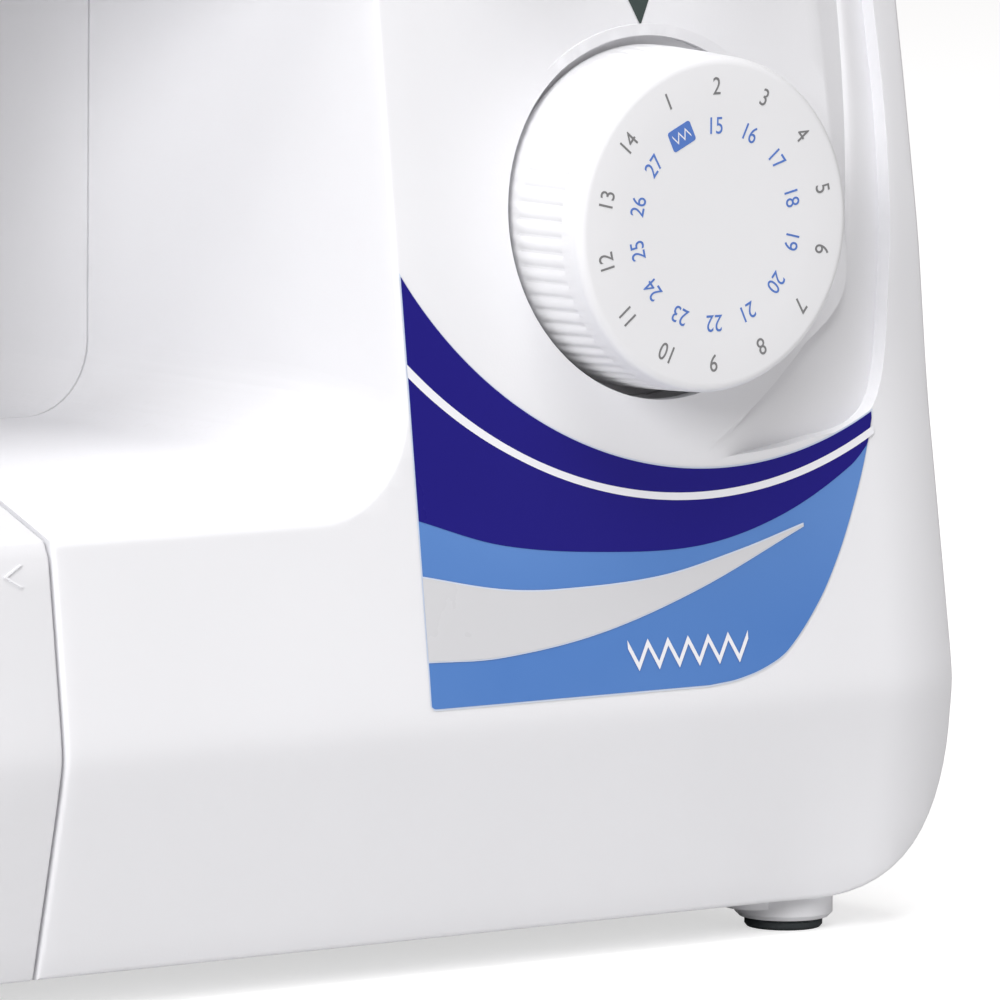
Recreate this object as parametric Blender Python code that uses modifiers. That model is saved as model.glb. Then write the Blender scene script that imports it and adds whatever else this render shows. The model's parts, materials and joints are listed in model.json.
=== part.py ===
"""A free-arm household sewing machine: moulded covers over a cast frame, with its drive, hook, feed and controls.

Metres, +Z up. X runs from the needle end to the handwheel end, Y from front to back. The origin is on the
table, under the middle of the machine. Lengths are written in millimetres times MM.
"""

import math

import bmesh
import bpy
from mathutils import Matrix, Vector

MM = 0.001

# ---- overall -------------------------------------------------------------------------------------
HALF_WIDTH = 180.5 * MM  # face cover to handwheel rim
HALF_DEPTH = 80.2 * MM  # pattern dial face to rear of the base
BODY_TOP = 280 * MM
BASE_BOTTOM = 6.4 * MM
WALL = 2.5 * MM  # moulded covers
GAP = 0.3 * MM  # between pieces that meet

# ---- front skin ----------------------------------------------------------------------------------
BED_EDGE_Y = -69.5 * MM  # front edge of the bed
BED_EDGE_Z = 80.9 * MM
CREASE_Z = 44.5 * MM  # widest line of the base
PANEL_LEAN = math.radians(8.0)
UNDERCUT = 0.24  # the skin goes back this much for each unit below the crease
UNDERCUT_FADE = 0.4  # share of it lost at the right corner
CORNER_SHARE = 0.4  # how deep the right front corner turns, against its width
BED_TOP = 91 * MM
SHOULDER_DEPTH = 30 * MM  # the bed falls to its front edge over this depth
SEAM_Y = 20.5 * MM  # parting plane of the front and rear covers
TOP_ROUND = 10 * MM
HEAD_SETBACK = 35 * MM  # the head's front sits this far behind the panel's
SETBACK_LEFT = -80 * MM  # the front has drawn back fully here

# ---- front outline -------------------------------------------------------------------------------
BED_SEAM_X = -35.1 * MM  # right end of the flat-bed attachment
PILLAR_X = 39.2 * MM  # left edge of the panel
PILLAR_DRAFT = 7.1 * MM  # the throat wall moves this far left by the parting plane
SIDE_X = 159.6 * MM  # right side of the body
SIDE_UPRIGHT = 165 * MM  # the side leans in above this height
SIDE_DRAFT = 0.08
HEAD_LEFT = -163.5 * MM  # joint of the covers and the face cover
HEAD_RIGHT = -96 * MM
HEAD_BOTTOM = 160 * MM
ARM_BOTTOM = 195 * MM
ARM_REAR_Y = 64 * MM
TOP_STEP = 12 * MM  # the rear of the top is this much lower, for the handle
TOP_STEP_RUN = 11 * MM
LAND = 3 * MM  # straight run of the covers up to their parting plane
BED_FILLET = 20 * MM
ARM_FILLET = 26 * MM
FOOT_CORNER = 28 * MM
RIM = 1.0 * MM

# ---- main axes -----------------------------------------------------------------------------------
NEEDLE_X = -132.5 * MM
NEEDLE_Y = SEAM_Y
SHAFT_Z = 232 * MM
LOWER_Z = 52 * MM
SHAFT_R = 4 * MM
RUNNING = 0.15 * MM  # radial clearance of a turning fit, facets included

# ---- pattern dial --------------------------------------------------------------------------------
DIAL_X = 95.4 * MM
DIAL_Z = 129.4 * MM
DIAL_R = 30 * MM
DIAL_WELL_R = DIAL_R + 1.6 * MM
WELL_FLOOR_Y = -57 * MM
DIAL_CLEAR = 0.8 * MM
LENGTH_DIAL = (118 * MM, 205 * MM)
WIDTH_DIAL = (72 * MM, 205 * MM)
TENSION_DIAL = (-70 * MM, 240 * MM)
SPOOL = (30 * MM, 4 * MM)
WINDER = (106 * MM, 4 * MM)
TAKE_UP_X = -106 * MM
REVERSE_X = 15 * MM

# Free arm, flat bed and feet.
FREE_ARM_FRONT = -16.7 * MM
FREE_ARM_REAR = 51.7 * MM
FREE_ARM_BOTTOM = 40 * MM
FREE_ARM_LEFT = -154 * MM
FEET = [(132.5 * MM, -54 * MM), (132.5 * MM, 62 * MM), (-138 * MM, 5 * MM), (-138 * MM, 40 * MM)]
TEETH_X = (-139.5 * MM, -125.5 * MM)
BOX_LEFT = -158 * MM  # the flat-bed attachment's slot for the free arm
SLOT_FRONT = -17.1 * MM
SLOT_REAR = 52.1 * MM

# Works inside.
PLATE_FRONT = 41.5 * MM
PLATE_REAR = 47.5 * MM
PRESSER_Y = 33.5 * MM
RAISED = 6 * MM  # the presser foot is stored lifted by this much
LOWER_Y = 26 * MM
HOOK_Y = 5 * MM
BAR_R = 3 * MM
TAKE_UP_Y = 16 * MM
TAKE_UP_Z = 256 * MM

# Extra cuts that let the covers' faces follow their curves.
SPLIT_X = [HEAD_RIGHT, -60 * MM, -20 * MM, 20 * MM, 134 * MM, 141 * MM, 147 * MM, 153 * MM]
SPLIT_Z = [CREASE_Z, BED_EDGE_Z, 110 * MM, 145 * MM, 158 * MM, 270 * MM, 276 * MM]

COLOURS = {
    "white": ((0.86, 0.86, 0.88), 0.35, 0.0),
    "dial_white": ((0.9, 0.9, 0.92), 0.3, 0.0),
    "grey": ((0.55, 0.56, 0.58), 0.4, 0.0),
    "black": ((0.03, 0.03, 0.03), 0.45, 0.0),
    "rubber": ((0.05, 0.06, 0.06), 0.8, 0.0),
    "steel": ((0.72, 0.72, 0.74), 0.25, 1.0),
    "casting": ((0.5, 0.51, 0.53), 0.5, 0.8),
    "bronze": ((0.6, 0.42, 0.2), 0.4, 1.0),
    "clear": ((0.8, 0.85, 0.9), 0.1, 0.0),
}


# ---- scene, materials and modelling helpers --------------------------------------------------------
def clear_scene():
    for obj in list(bpy.data.objects):
        bpy.data.objects.remove(obj)


def new_collection(name):
    collection = bpy.data.collections.new(name)
    bpy.context.scene.collection.children.link(collection)
    return collection


def material(name):
    found = bpy.data.materials.get(name)
    if found:
        return found
    colour, roughness, metallic = COLOURS[name]
    made = bpy.data.materials.new(name)
    made.use_nodes = True
    shader = made.node_tree.nodes["Principled BSDF"]
    shader.inputs["Base Color"].default_value = (*colour, 1)
    shader.inputs["Roughness"].default_value = roughness
    shader.inputs["Metallic"].default_value = metallic
    return made


def add_object(name, mesh, colour=None):
    """A part when it has a colour, otherwise a hidden cutter."""
    obj = bpy.data.objects.new(name, mesh)
    if colour:
        bpy.data.collections["sewing_machine"].objects.link(obj)
        mesh.materials.append(material(colour))
        mesh.shade_smooth()
        mesh.set_sharp_from_angle(angle=math.radians(35))
    else:
        bpy.data.collections["cutters"].objects.link(obj)
        obj.hide_render = True
        obj.display_type = "WIRE"
    return obj


def mesh_from(bm, name):
    mesh = bpy.data.meshes.new(name)
    bm.to_mesh(mesh)
    bm.free()
    return mesh


def box(name, low, high, colour=None, round_off=0.0):
    """A block between two corners."""
    low, high = Vector(low), Vector(high)
    bm = bmesh.new()
    placed = Matrix.Translation((low + high) / 2) @ Matrix.Diagonal((*(high - low), 1))
    bmesh.ops.create_cube(bm, size=1, matrix=placed)
    obj = add_object(name, mesh_from(bm, name), colour)
    if round_off:
        bevel = obj.modifiers.new("round", "BEVEL")
        bevel.width = round_off
        bevel.segments = 2
    return obj


TURN = {
    "X": Matrix.Rotation(math.radians(90), 4, "Y"),
    "Y": Matrix.Rotation(math.radians(-90), 4, "X"),
    "Z": Matrix(),
}


def along(axis, at):
    """Takes +Z to the axis and the origin to a point."""
    return Matrix.Translation(at) @ TURN[axis]


def turned(name, profile, axis, at, colour=None, steps=24):
    """A solid of revolution. The profile is (radius, height) pairs, from the top of the axis to its foot.
    It ends on the axis, or it is a closed ring when its first and last radii aren't zero."""
    bm = bmesh.new()
    verts = [bm.verts.new((radius, 0, height)) for radius, height in profile]
    for first, second in zip(verts, verts[1:]):
        bm.edges.new((first, second))
    if profile[0][0] > 0:
        bm.edges.new((verts[-1], verts[0]))
    obj = add_object(name, mesh_from(bm, name), colour)
    screw = obj.modifiers.new("turn", "SCREW")
    screw.steps = screw.render_steps = steps
    screw.use_merge_vertices = True
    screw.merge_threshold = 0.00001
    obj.matrix_world = along(axis, at)
    return obj


def rod(name, axis, at, radius, length, colour=None, steps=24):
    """A plain cylinder that starts at a point and runs along +axis."""
    bm = bmesh.new()
    bmesh.ops.create_cone(bm, cap_ends=True, segments=steps, radius1=radius, radius2=radius, depth=length,
                          matrix=along(axis, at) @ Matrix.Translation((0, 0, length / 2)))
    return add_object(name, mesh_from(bm, name), colour)


def sleeve(name, axis, at, bore, outer, length, colour, steps=24):
    """A ring with square edges."""
    return turned(name, [(outer, length), (outer, 0), (bore, 0), (bore, length)], axis, at, colour, steps)


def rounded(corners, steps=5):
    """A 2D outline from (u, v, radius) corners, each replaced by an arc."""
    outline = []
    count = len(corners)
    for i, (u, v, radius) in enumerate(corners):
        here = Vector((u, v))
        if not radius:
            outline.append(here)
            continue
        before = (Vector(corners[i - 1][:2]) - here).normalized()
        after = (Vector(corners[(i + 1) % count][:2]) - here).normalized()
        half = before.angle(after) / 2
        centre = here + (before + after).normalized() * (radius / math.sin(half))
        start = here + before * (radius / math.tan(half)) - centre
        sweep = (math.pi - 2 * half) * (1 if before.cross(after) < 0 else -1)
        for step in range(steps + 1):
            turn = Matrix.Rotation(sweep * step / steps, 2)
            outline.append(centre + turn @ start)
    return outline


def plate(name, outline, axis, start, end, colour=None):
    """A flat outline given thickness along an axis. Its (u, v) are (x, y), (x, z) or (y, z)."""
    curve = bpy.data.curves.new(name, "CURVE")
    curve.dimensions = "2D"
    curve.fill_mode = "BOTH"
    curve.extrude = (end - start) / 2
    spline = curve.splines.new("POLY")
    spline.points.add(len(outline) - 1)
    for point, (u, v) in zip(spline.points, outline):
        point.co = (u, v, 0, 1)
    spline.use_cyclic_u = True
    flat = bpy.data.objects.new(name + "_curve", curve)
    bpy.context.scene.collection.objects.link(flat)
    bpy.context.view_layer.update()
    solid = bpy.data.meshes.new_from_object(flat.evaluated_get(bpy.context.evaluated_depsgraph_get()))
    bpy.data.objects.remove(flat)
    middle = (start + end) / 2
    to_axis = {
        "Z": Matrix.Translation((0, 0, middle)),
        "Y": Matrix.Translation((0, middle, 0)) @ Matrix.Rotation(math.radians(90), 4, "X"),
        "X": Matrix.Translation((middle, 0, 0)) @ Matrix(((0, 0, 1, 0), (1, 0, 0, 0), (0, 1, 0, 0), (0, 0, 0, 1))),
    }[axis]
    bm = bmesh.new()
    bm.from_mesh(solid)
    bmesh.ops.remove_doubles(bm, verts=bm.verts, dist=0.00001)
    bmesh.ops.transform(bm, matrix=to_axis, verts=bm.verts)
    bmesh.ops.recalc_face_normals(bm, faces=bm.faces)
    solid.clear_geometry()
    bm.to_mesh(solid)
    bm.free()
    return add_object(name, solid, colour)


def boolean(obj, other, operation):
    modifier = obj.modifiers.new(operation.lower() + "_" + other.name, "BOOLEAN")
    modifier.operation = operation
    modifier.object = other


def cut(obj, *cutters):
    for cutter in cutters:
        boolean(obj, cutter, "DIFFERENCE")


def join(obj, *others):
    for other in others:
        boolean(obj, other, "UNION")


# ---- the machine's outer surface ------------------------------------------------------------------
def ease(value, start, end):
    """0 at start, 1 at end, smooth between."""
    share = min(1, max(0, (value - start) / (end - start)))
    return share * share * (3 - 2 * share)


def ramp(value, start, end):
    return min(1, max(0, (value - start) / (end - start)))


def roll_off(distance, radius):
    """How far a rounded edge has fallen back, a distance past where it starts."""
    reach = min(max(distance, 0), 0.95 * radius)
    return radius - math.sqrt(radius * radius - reach * reach)


def side_x(z):
    """Right side of the body, which leans in near its top."""
    return SIDE_X - SIDE_DRAFT * max(0, z - SIDE_UPRIGHT)


def panel_right(z):
    """Where the flat panel ends and the right corner starts to turn."""
    return 140 * MM + 8 * MM * ease(z, 88 * MM, 128 * MM) - 0.05 * max(0, z - 150 * MM)


def front_skin(x, z):
    """Y of the front surface."""
    if z >= CREASE_Z:
        y = BED_EDGE_Y + (z - BED_EDGE_Z) * math.tan(PANEL_LEAN)
    else:
        crease_y = BED_EDGE_Y + (CREASE_Z - BED_EDGE_Z) * math.tan(PANEL_LEAN)
        fade = 1 - UNDERCUT_FADE * ease(x, 120 * MM, 158 * MM)
        y = crease_y + (CREASE_Z - z) * UNDERCUT * fade
    y += CORNER_SHARE * roll_off(x - panel_right(z), side_x(z) - panel_right(z))
    y += roll_off(z - (BODY_TOP - TOP_ROUND), TOP_ROUND)
    return y + HEAD_SETBACK * ease(-x, -PILLAR_X, -SETBACK_LEFT) * ease(z, 130 * MM, 158 * MM)


def rear_skin(x, z):
    """Y of the rear surface, which leans in from the base to the arm."""
    y = HALF_DEPTH - (HALF_DEPTH - ARM_REAR_Y) * ramp(z, BED_TOP, ARM_BOTTOM)
    y -= roll_off(z - (BODY_TOP - TOP_ROUND), TOP_ROUND)
    return y - roll_off(x - (side_x(z) - 20 * MM), 20 * MM)


def bed_rise(z, depth):
    """How much the bed surface has risen, a depth behind its front edge."""
    near = ramp(z, CREASE_Z, BED_EDGE_Z) * (1 - ramp(z, BED_EDGE_Z, BED_EDGE_Z + 29 * MM))
    return (BED_TOP - BED_EDGE_Z) * near * ramp(depth, 0, SHOULDER_DEPTH)


def throat_draft(x, z, depth):
    """The throat wall's move to the left, a depth behind the panel."""
    if x > PILLAR_X + 1 * MM or z > ARM_BOTTOM - 1 * MM:
        return 0
    return -PILLAR_DRAFT * ramp(depth, 0, SEAM_Y - BED_EDGE_Y - LAND) * ramp(x, PILLAR_X - BED_FILLET, PILLAR_X)


def place_front(point):
    """Moves a vertex of the straight front extrusion, whose y is its depth, onto the real surface."""
    x, depth, z = point
    skin = front_skin(x, z)
    share = depth / (SEAM_Y - BED_EDGE_Y)
    y = skin + share * (SEAM_Y - GAP / 2 - skin)
    return Vector((x + throat_draft(x, z, depth), y, z + bed_rise(z, depth)))


def place_rear(point):
    """The same for the rear extrusion, whose depth runs from the rear surface forward to the parting plane."""
    x, depth, z = point
    full = HALF_DEPTH - SEAM_Y
    skin = rear_skin(x, z)
    y = skin + depth / full * (SEAM_Y + GAP / 2 - skin)
    lowered = TOP_STEP * ramp(full - depth, LAND, TOP_STEP_RUN) * ramp(z, BODY_TOP - 30 * MM, BODY_TOP)
    return Vector((x + throat_draft(x, z, SEAM_Y - BED_EDGE_Y), y, z + bed_rise(z, SHOULDER_DEPTH) - lowered))


def cover_outline():
    """Front view of the covers: base, pillar, arm and head, before the bed and side slopes."""
    return rounded([
        (BED_SEAM_X, BASE_BOTTOM, 0),
        (side_x(BASE_BOTTOM), BASE_BOTTOM, FOOT_CORNER),
        (side_x(BODY_TOP), BODY_TOP, 15 * MM),
        (HEAD_LEFT, BODY_TOP, 0),
        (HEAD_LEFT, HEAD_BOTTOM, 0),
        (HEAD_RIGHT, HEAD_BOTTOM, 6 * MM),
        (HEAD_RIGHT + 6 * MM, ARM_BOTTOM, 14 * MM),
        (PILLAR_X, ARM_BOTTOM, ARM_FILLET),
        (PILLAR_X, BED_EDGE_Z, BED_FILLET),
        (BED_SEAM_X, BED_EDGE_Z, 0),
    ])


def cover_shell(name, place, full_depth, loops, cuts_x, cuts_z, facing):
    """One moulded cover: the outline as a face with walls behind it, moved onto the real surface and thickened.
    The base is open underneath, and the head underneath and at the left, where the face cover goes on."""
    bm = bmesh.new()
    front = bm.faces.new([bm.verts.new((x, 0, z)) for x, z in cover_outline()])
    if front.normal.dot(Vector((0, -1, 0))) < 0:
        front.normal_flip()
    rim = bmesh.ops.inset_region(bm, faces=[front], thickness=RIM, use_even_offset=True)
    edge = [e for e in bm.edges if e.is_boundary]
    for vert in {v for e in edge for v in e.verts}:
        vert.co.y = RIM
    for depth in [*loops, full_depth]:
        made = bmesh.ops.extrude_edge_only(bm, edges=edge)["geom"]
        edge = [g for g in made if isinstance(g, bmesh.types.BMEdge) and g.is_boundary]
        for vert in {v for e in edge for v in e.verts}:
            vert.co.y = depth
    for x in cuts_x:
        bmesh.ops.bisect_plane(bm, geom=[*bm.verts, *bm.edges, *bm.faces], plane_co=(x, 0, 0), plane_no=(1, 0, 0))
    for z in cuts_z:
        bmesh.ops.bisect_plane(bm, geom=[*bm.verts, *bm.edges, *bm.faces], plane_co=(0, 0, z), plane_no=(0, 0, 1))
    open_faces = []
    for face in bm.faces:
        middle = face.calc_center_median()
        below_base = middle.z < BASE_BOTTOM + 0.1 * MM
        below_head = middle.x < HEAD_RIGHT - 6 * MM and abs(middle.z - HEAD_BOTTOM) < 0.1 * MM
        left_of_head = abs(middle.x - HEAD_LEFT) < 0.1 * MM and middle.z > HEAD_BOTTOM
        if middle.y > RIM and (below_base or below_head or left_of_head):
            open_faces.append(face)
    bmesh.ops.delete(bm, geom=open_faces, context="FACES")
    for vert in bm.verts:
        vert.co = place(vert.co)
    if facing > 0:
        bmesh.ops.reverse_faces(bm, faces=bm.faces)
    else:
        bmesh.ops.triangulate(bm, faces=bm.faces)
    bm.normal_update()
    obj = add_object(name, mesh_from(bm, name), "white")
    shell = obj.modifiers.new("wall", "SOLIDIFY")
    shell.thickness = WALL
    shell.offset = -1
    shell.use_even_offset = True
    return obj


def loft(name, rings, colour=None):
    """A solid through equal rings of points, capped at both ends."""
    bm = bmesh.new()
    loops = [[bm.verts.new(point) for point in ring] for ring in rings]
    for lower, upper in zip(loops, loops[1:]):
        for i in range(len(lower)):
            j = (i + 1) % len(lower)
            bm.faces.new((lower[i], lower[j], upper[j], upper[i]))
    bm.faces.new(loops[0])
    bm.faces.new(loops[-1])
    bmesh.ops.recalc_face_normals(bm, faces=bm.faces)
    return add_object(name, mesh_from(bm, name), colour)


def belt(name, first, first_r, second, second_r, start, end, colour, steps=10):
    """A band round two pulleys whose axes run along X. Centres are (y, z)."""
    def loop(extra):
        low, high = Vector(first), Vector(second)
        line = high - low
        base = math.atan2(line.y, line.x)
        spread = math.acos((first_r - second_r) / line.length)
        points = []
        for centre, radius, start_turn, end_turn in (
            (high, second_r + extra, base - spread, base + spread),
            (low, first_r + extra, base + spread, base + 2 * math.pi - spread),
        ):
            for step in range(steps + 1):
                turn = start_turn + (end_turn - start_turn) * step / steps
                points.append(centre + radius * Vector((math.cos(turn), math.sin(turn))))
        return points

    band = plate(name, loop(1.8 * MM), "X", start, end, colour)
    cut(band, plate(name + "_inside", loop(0.6 * MM), "X", start - 1 * MM, end + 1 * MM))
    return band


# ---- covers -----------------------------------------------------------------------------------------


def make_front_cover():
    full = SEAM_Y - BED_EDGE_Y
    cover = cover_shell("front_cover", place_front, full, [10 * MM, 30 * MM, full - LAND], SPLIT_X, SPLIT_Z, -1)
    cup = rod("well_cup", "Y", (DIAL_X, -62 * MM, DIAL_Z), DIAL_WELL_R + 2 * MM, WELL_FLOOR_Y + 64 * MM, steps=48)
    join(cover, cup)
    cut(
        cover,
        rod("well_bore", "Y", (DIAL_X, -90 * MM, DIAL_Z), DIAL_WELL_R, WELL_FLOOR_Y + 90 * MM, steps=48),
        rod("dial_bore", "Y", (DIAL_X, -70 * MM, DIAL_Z), 5.4 * MM, 40 * MM),
        rod("length_bore", "Y", (LENGTH_DIAL[0], -70 * MM, LENGTH_DIAL[1]), 4.4 * MM, 30 * MM, steps=16),
        rod("width_bore", "Y", (WIDTH_DIAL[0], -70 * MM, WIDTH_DIAL[1]), 4.4 * MM, 30 * MM, steps=16),
        rod("tension_bore", "Y", (TENSION_DIAL[0], -30 * MM, TENSION_DIAL[1]), 4.4 * MM, 30 * MM, steps=16),
        rod("spool_bore", "Z", (*SPOOL, 260 * MM), 3.2 * MM, 30 * MM, steps=16),
        rod("winder_bore", "Z", (*WINDER, 260 * MM), 3.4 * MM, 30 * MM, steps=16),
        box("take_up_slot", (TAKE_UP_X - 4 * MM, -40 * MM, 205 * MM), (TAKE_UP_X + 4 * MM, 5 * MM, 268 * MM)),
        box("reverse_slot", (REVERSE_X - 6 * MM, -70 * MM, 206 * MM), (REVERSE_X + 6 * MM, -30 * MM, 234 * MM)),
        rod("shaft_bore", "X", (140 * MM, NEEDLE_Y, SHAFT_Z), 6 * MM, 30 * MM),
        box("arm_passage", (-40 * MM, FREE_ARM_FRONT + WALL, FREE_ARM_BOTTOM + WALL),
            (-30 * MM, FREE_ARM_REAR - WALL, BED_TOP - 2.6 * MM)),
        box("tongue_passage", (-40 * MM, -4.4 * MM, 0), (-30 * MM, 49.4 * MM, 12 * MM)),
    )


def make_rear_cover():
    full = HALF_DEPTH - SEAM_Y
    loops = [12 * MM, 30 * MM, full - TOP_STEP_RUN, full - LAND]
    cover = cover_shell("rear_cover", place_rear, full, loops, SPLIT_X, SPLIT_Z, 1)
    for side in (-1, 1):
        low, high = sorted((side * 72.6 * MM, side * 79 * MM))
        join(cover, box(f"handle_lug_{low:.3f}", (low, 34 * MM, 266 * MM), (high, 42 * MM, 278 * MM)))
    cut(
        cover,
        rod("shaft_bore_rear", "X", (140 * MM, NEEDLE_Y, SHAFT_Z), 6 * MM, 30 * MM),
        box("arm_passage_rear", (-40 * MM, FREE_ARM_FRONT + WALL, FREE_ARM_BOTTOM + WALL),
            (-30 * MM, FREE_ARM_REAR - WALL, BED_TOP - 2.6 * MM)),
        box("tongue_passage_rear", (-40 * MM, -4.4 * MM, 0), (-30 * MM, 49.4 * MM, 12 * MM)),
        box("inlet_hole", (145 * MM, 29.7 * MM, 39.7 * MM), (175 * MM, 54.3 * MM, 60.3 * MM)),
        box("switch_hole", (145 * MM, 33 * MM, 74 * MM), (175 * MM, 51 * MM, 98 * MM)),
        box("lifter_slot", (-140 * MM, 60 * MM, 150 * MM), (-128 * MM, 85 * MM, 196 * MM)),
    )


def head_section(x):
    """The head's outline at its left end, as (y, z)."""
    up = [160, 185, 270, 276]
    front = [(front_skin(x, z * MM), z * MM) for z in up]
    top = [(SEAM_Y - 10 * MM, BODY_TOP), (SEAM_Y + LAND, BODY_TOP), (SEAM_Y + TOP_STEP_RUN, BODY_TOP - TOP_STEP)]
    back = []
    for z in (276, 270, 250, 195, 160):
        lowered = TOP_STEP * ramp(z * MM, BODY_TOP - 30 * MM, BODY_TOP)
        back.append((rear_skin(x, z * MM), z * MM - lowered))
    return front + top + back


def make_face_cover():
    section = head_section(HEAD_LEFT)
    middle_y, middle_z = 21 * MM, 215 * MM

    def ring(x, inset, wall=0.0):
        points = []
        for y, z in section:
            toward = Vector((y - middle_y, z - middle_z))
            shift = toward * (inset + wall) / 45 / MM
            at_foot = z < HEAD_BOTTOM + 1 * MM
            drop = (20 * MM if wall else 0) if at_foot else shift.y
            points.append((x, y - shift.x, z - drop))
        return points

    left = -HALF_WIDTH
    joint = HEAD_LEFT - GAP
    outer = [ring(joint, 0), ring(left + 8 * MM, 0.6 * MM), ring(left + 2.6 * MM, 2.6 * MM), ring(left, 6.5 * MM)]
    inner = [ring(joint + 5 * MM, 0, WALL), ring(left + 8 * MM, 0.6 * MM, WALL), ring(left + 2.8 * MM, 4 * MM, WALL)]
    cut(loft("face_cover", outer, "white"), loft("face_inside", inner))


def make_bottom_cover():
    tray = box("bottom_cover", (BED_SEAM_X + WALL + 0.5 * MM, -61 * MM, 6.6 * MM), (127 * MM, 73.6 * MM, 9.4 * MM), "white")
    join(tray, box("tongue", (-150 * MM, -4 * MM, 6.6 * MM), (-30 * MM, 49 * MM, 9.4 * MM)))
    for i, (x, y) in enumerate(FEET):
        join(tray, rod(f"boss_{i}", "Z", (x, y, 1.9 * MM), 8.8 * MM, 4.2 * MM, steps=20))
        inward = x - 8.5 * MM if x > 0 else x
        join(tray, rod(f"boss_neck_{i}", "Z", (inward, y, 4 * MM), 5 * MM, 4 * MM, steps=12))
        rod(f"foot_pad_{i + 1}", "Z", (x, y, 0), 7 * MM, 1.6 * MM, "rubber", 20)


def make_free_arm():
    low = (FREE_ARM_LEFT, FREE_ARM_FRONT, FREE_ARM_BOTTOM)
    high = (BED_SEAM_X - GAP, FREE_ARM_REAR, BED_TOP)
    arm = box("free_arm_cover", low, high, "white", 4 * MM)
    inside = box("free_arm_inside", [v + WALL for v in low], (high[0] + 5 * MM, high[1] - WALL, high[2] - WALL))
    opening_low = (-152.3 * MM, -20 * MM, BED_TOP - WALL - 0.1 * MM)
    cut(arm, inside, box("plate_opening", opening_low, (-112.7 * MM, 47.3 * MM, 95 * MM)))
    throat_plate = box("needle_plate", (-152 * MM, 16.2 * MM, 88.9 * MM), (-113 * MM, 47 * MM, 91.2 * MM), "steel")
    cut(throat_plate, box("needle_slot", (-136 * MM, 19.6 * MM, 80 * MM), (-129 * MM, 21.4 * MM, 95 * MM)))
    for x in TEETH_X:
        slot_low = (x - 1.6 * MM, 22.4 * MM, 80 * MM)
        slot_high = (x + 1.6 * MM, 39.6 * MM, 95 * MM)
        cut(throat_plate, box(f"feed_slot_{x:.3f}", slot_low, slot_high))
    cover = box("bobbin_cover", (-152 * MM, -13 * MM, 88.9 * MM), (-113 * MM, 15.9 * MM, 91.2 * MM), "clear")
    cut(cover, rod("cover_grip", "Z", (-132.5 * MM, -11 * MM, 90.2 * MM), 4 * MM, 5 * MM))


def bed_section(wall=0.0):
    """The flat bed's outline, as (y, z), drawn in by a wall."""
    low = BASE_BOTTOM
    return [
        (front_skin(-60 * MM, low) + wall, low),
        (front_skin(-60 * MM, CREASE_Z) + wall, CREASE_Z),
        (BED_EDGE_Y + wall, BED_EDGE_Z - wall),
        (BED_EDGE_Y + SHOULDER_DEPTH, BED_TOP - wall),
        (HALF_DEPTH - 5 * MM - wall, BED_TOP - wall),
        (HALF_DEPTH - wall, BED_TOP - 5 * MM - wall),
        (HALF_DEPTH - wall, low),
    ]


def make_attachment():
    left, right = -176 * MM, BED_SEAM_X - GAP
    body = plate("bed_attachment", bed_section(), "X", left, right, "white")
    corner_front = plate("corner_front", corner_cut(left, -76 * MM, 22 * MM, 1), "Z", 0, 100 * MM)
    corner_rear = plate("corner_rear", corner_cut(left, HALF_DEPTH, 20 * MM, -1), "Z", 0, 100 * MM)
    front_hollow = plate("front_hollow", [
        (y if y < -30 * MM else SLOT_FRONT - WALL, max(z, 14 * MM) if z < 20 * MM else z)
        for y, z in bed_section(WALL)[:5]
    ] + [(SLOT_FRONT - WALL, 14 * MM)], "X", -109 * MM, right - WALL)
    cut(
        body,
        corner_front,
        corner_rear,
        box("arm_slot", (BOX_LEFT, SLOT_FRONT, 0), (0, SLOT_REAR, 100 * MM)),
        front_hollow,
        box("rear_hollow", (left + 24 * MM, SLOT_REAR + WALL, 0), (right - WALL, HALF_DEPTH - WALL, BED_TOP - 8 * MM)),
        box("left_hollow", (left + WALL, -40 * MM, 0), (BOX_LEFT - WALL, 55 * MM, BED_TOP - WALL)),
        box("front_left_hollow", (-150 * MM, -58 * MM, 0), (-112 * MM, SLOT_FRONT - WALL, 80 * MM)),
        box("lid_hole", (-104 * MM, -38.6 * MM, 80 * MM), (-44 * MM, -22.4 * MM, 100 * MM)),
        box("cover_recess", (-152.6 * MM, -30 * MM, 88.5 * MM), (-112.4 * MM, 0, 100 * MM)),
    )
    lid = box("attachment_lid", (-103.7 * MM, -38.3 * MM, 88.9 * MM), (-44.3 * MM, -23.2 * MM, BED_TOP), "white")
    cut(lid, rod("lid_grip", "Z", (-74 * MM, -38 * MM, 90 * MM), 5 * MM, 5 * MM))


def corner_cut(x, y, radius, side):
    """What a round corner takes off a square one. side is +1 at the front, -1 at the rear."""
    arc = []
    for step in range(7):
        turn = math.radians(90 * step / 6)
        arc.append((x + radius - radius * math.sin(turn), y + side * (radius - radius * math.cos(turn))))
    return [(x - 5 * MM, y - side * 5 * MM), (x + radius, y - side * 5 * MM), *arc, (x - 5 * MM, y + side * radius)]


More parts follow.
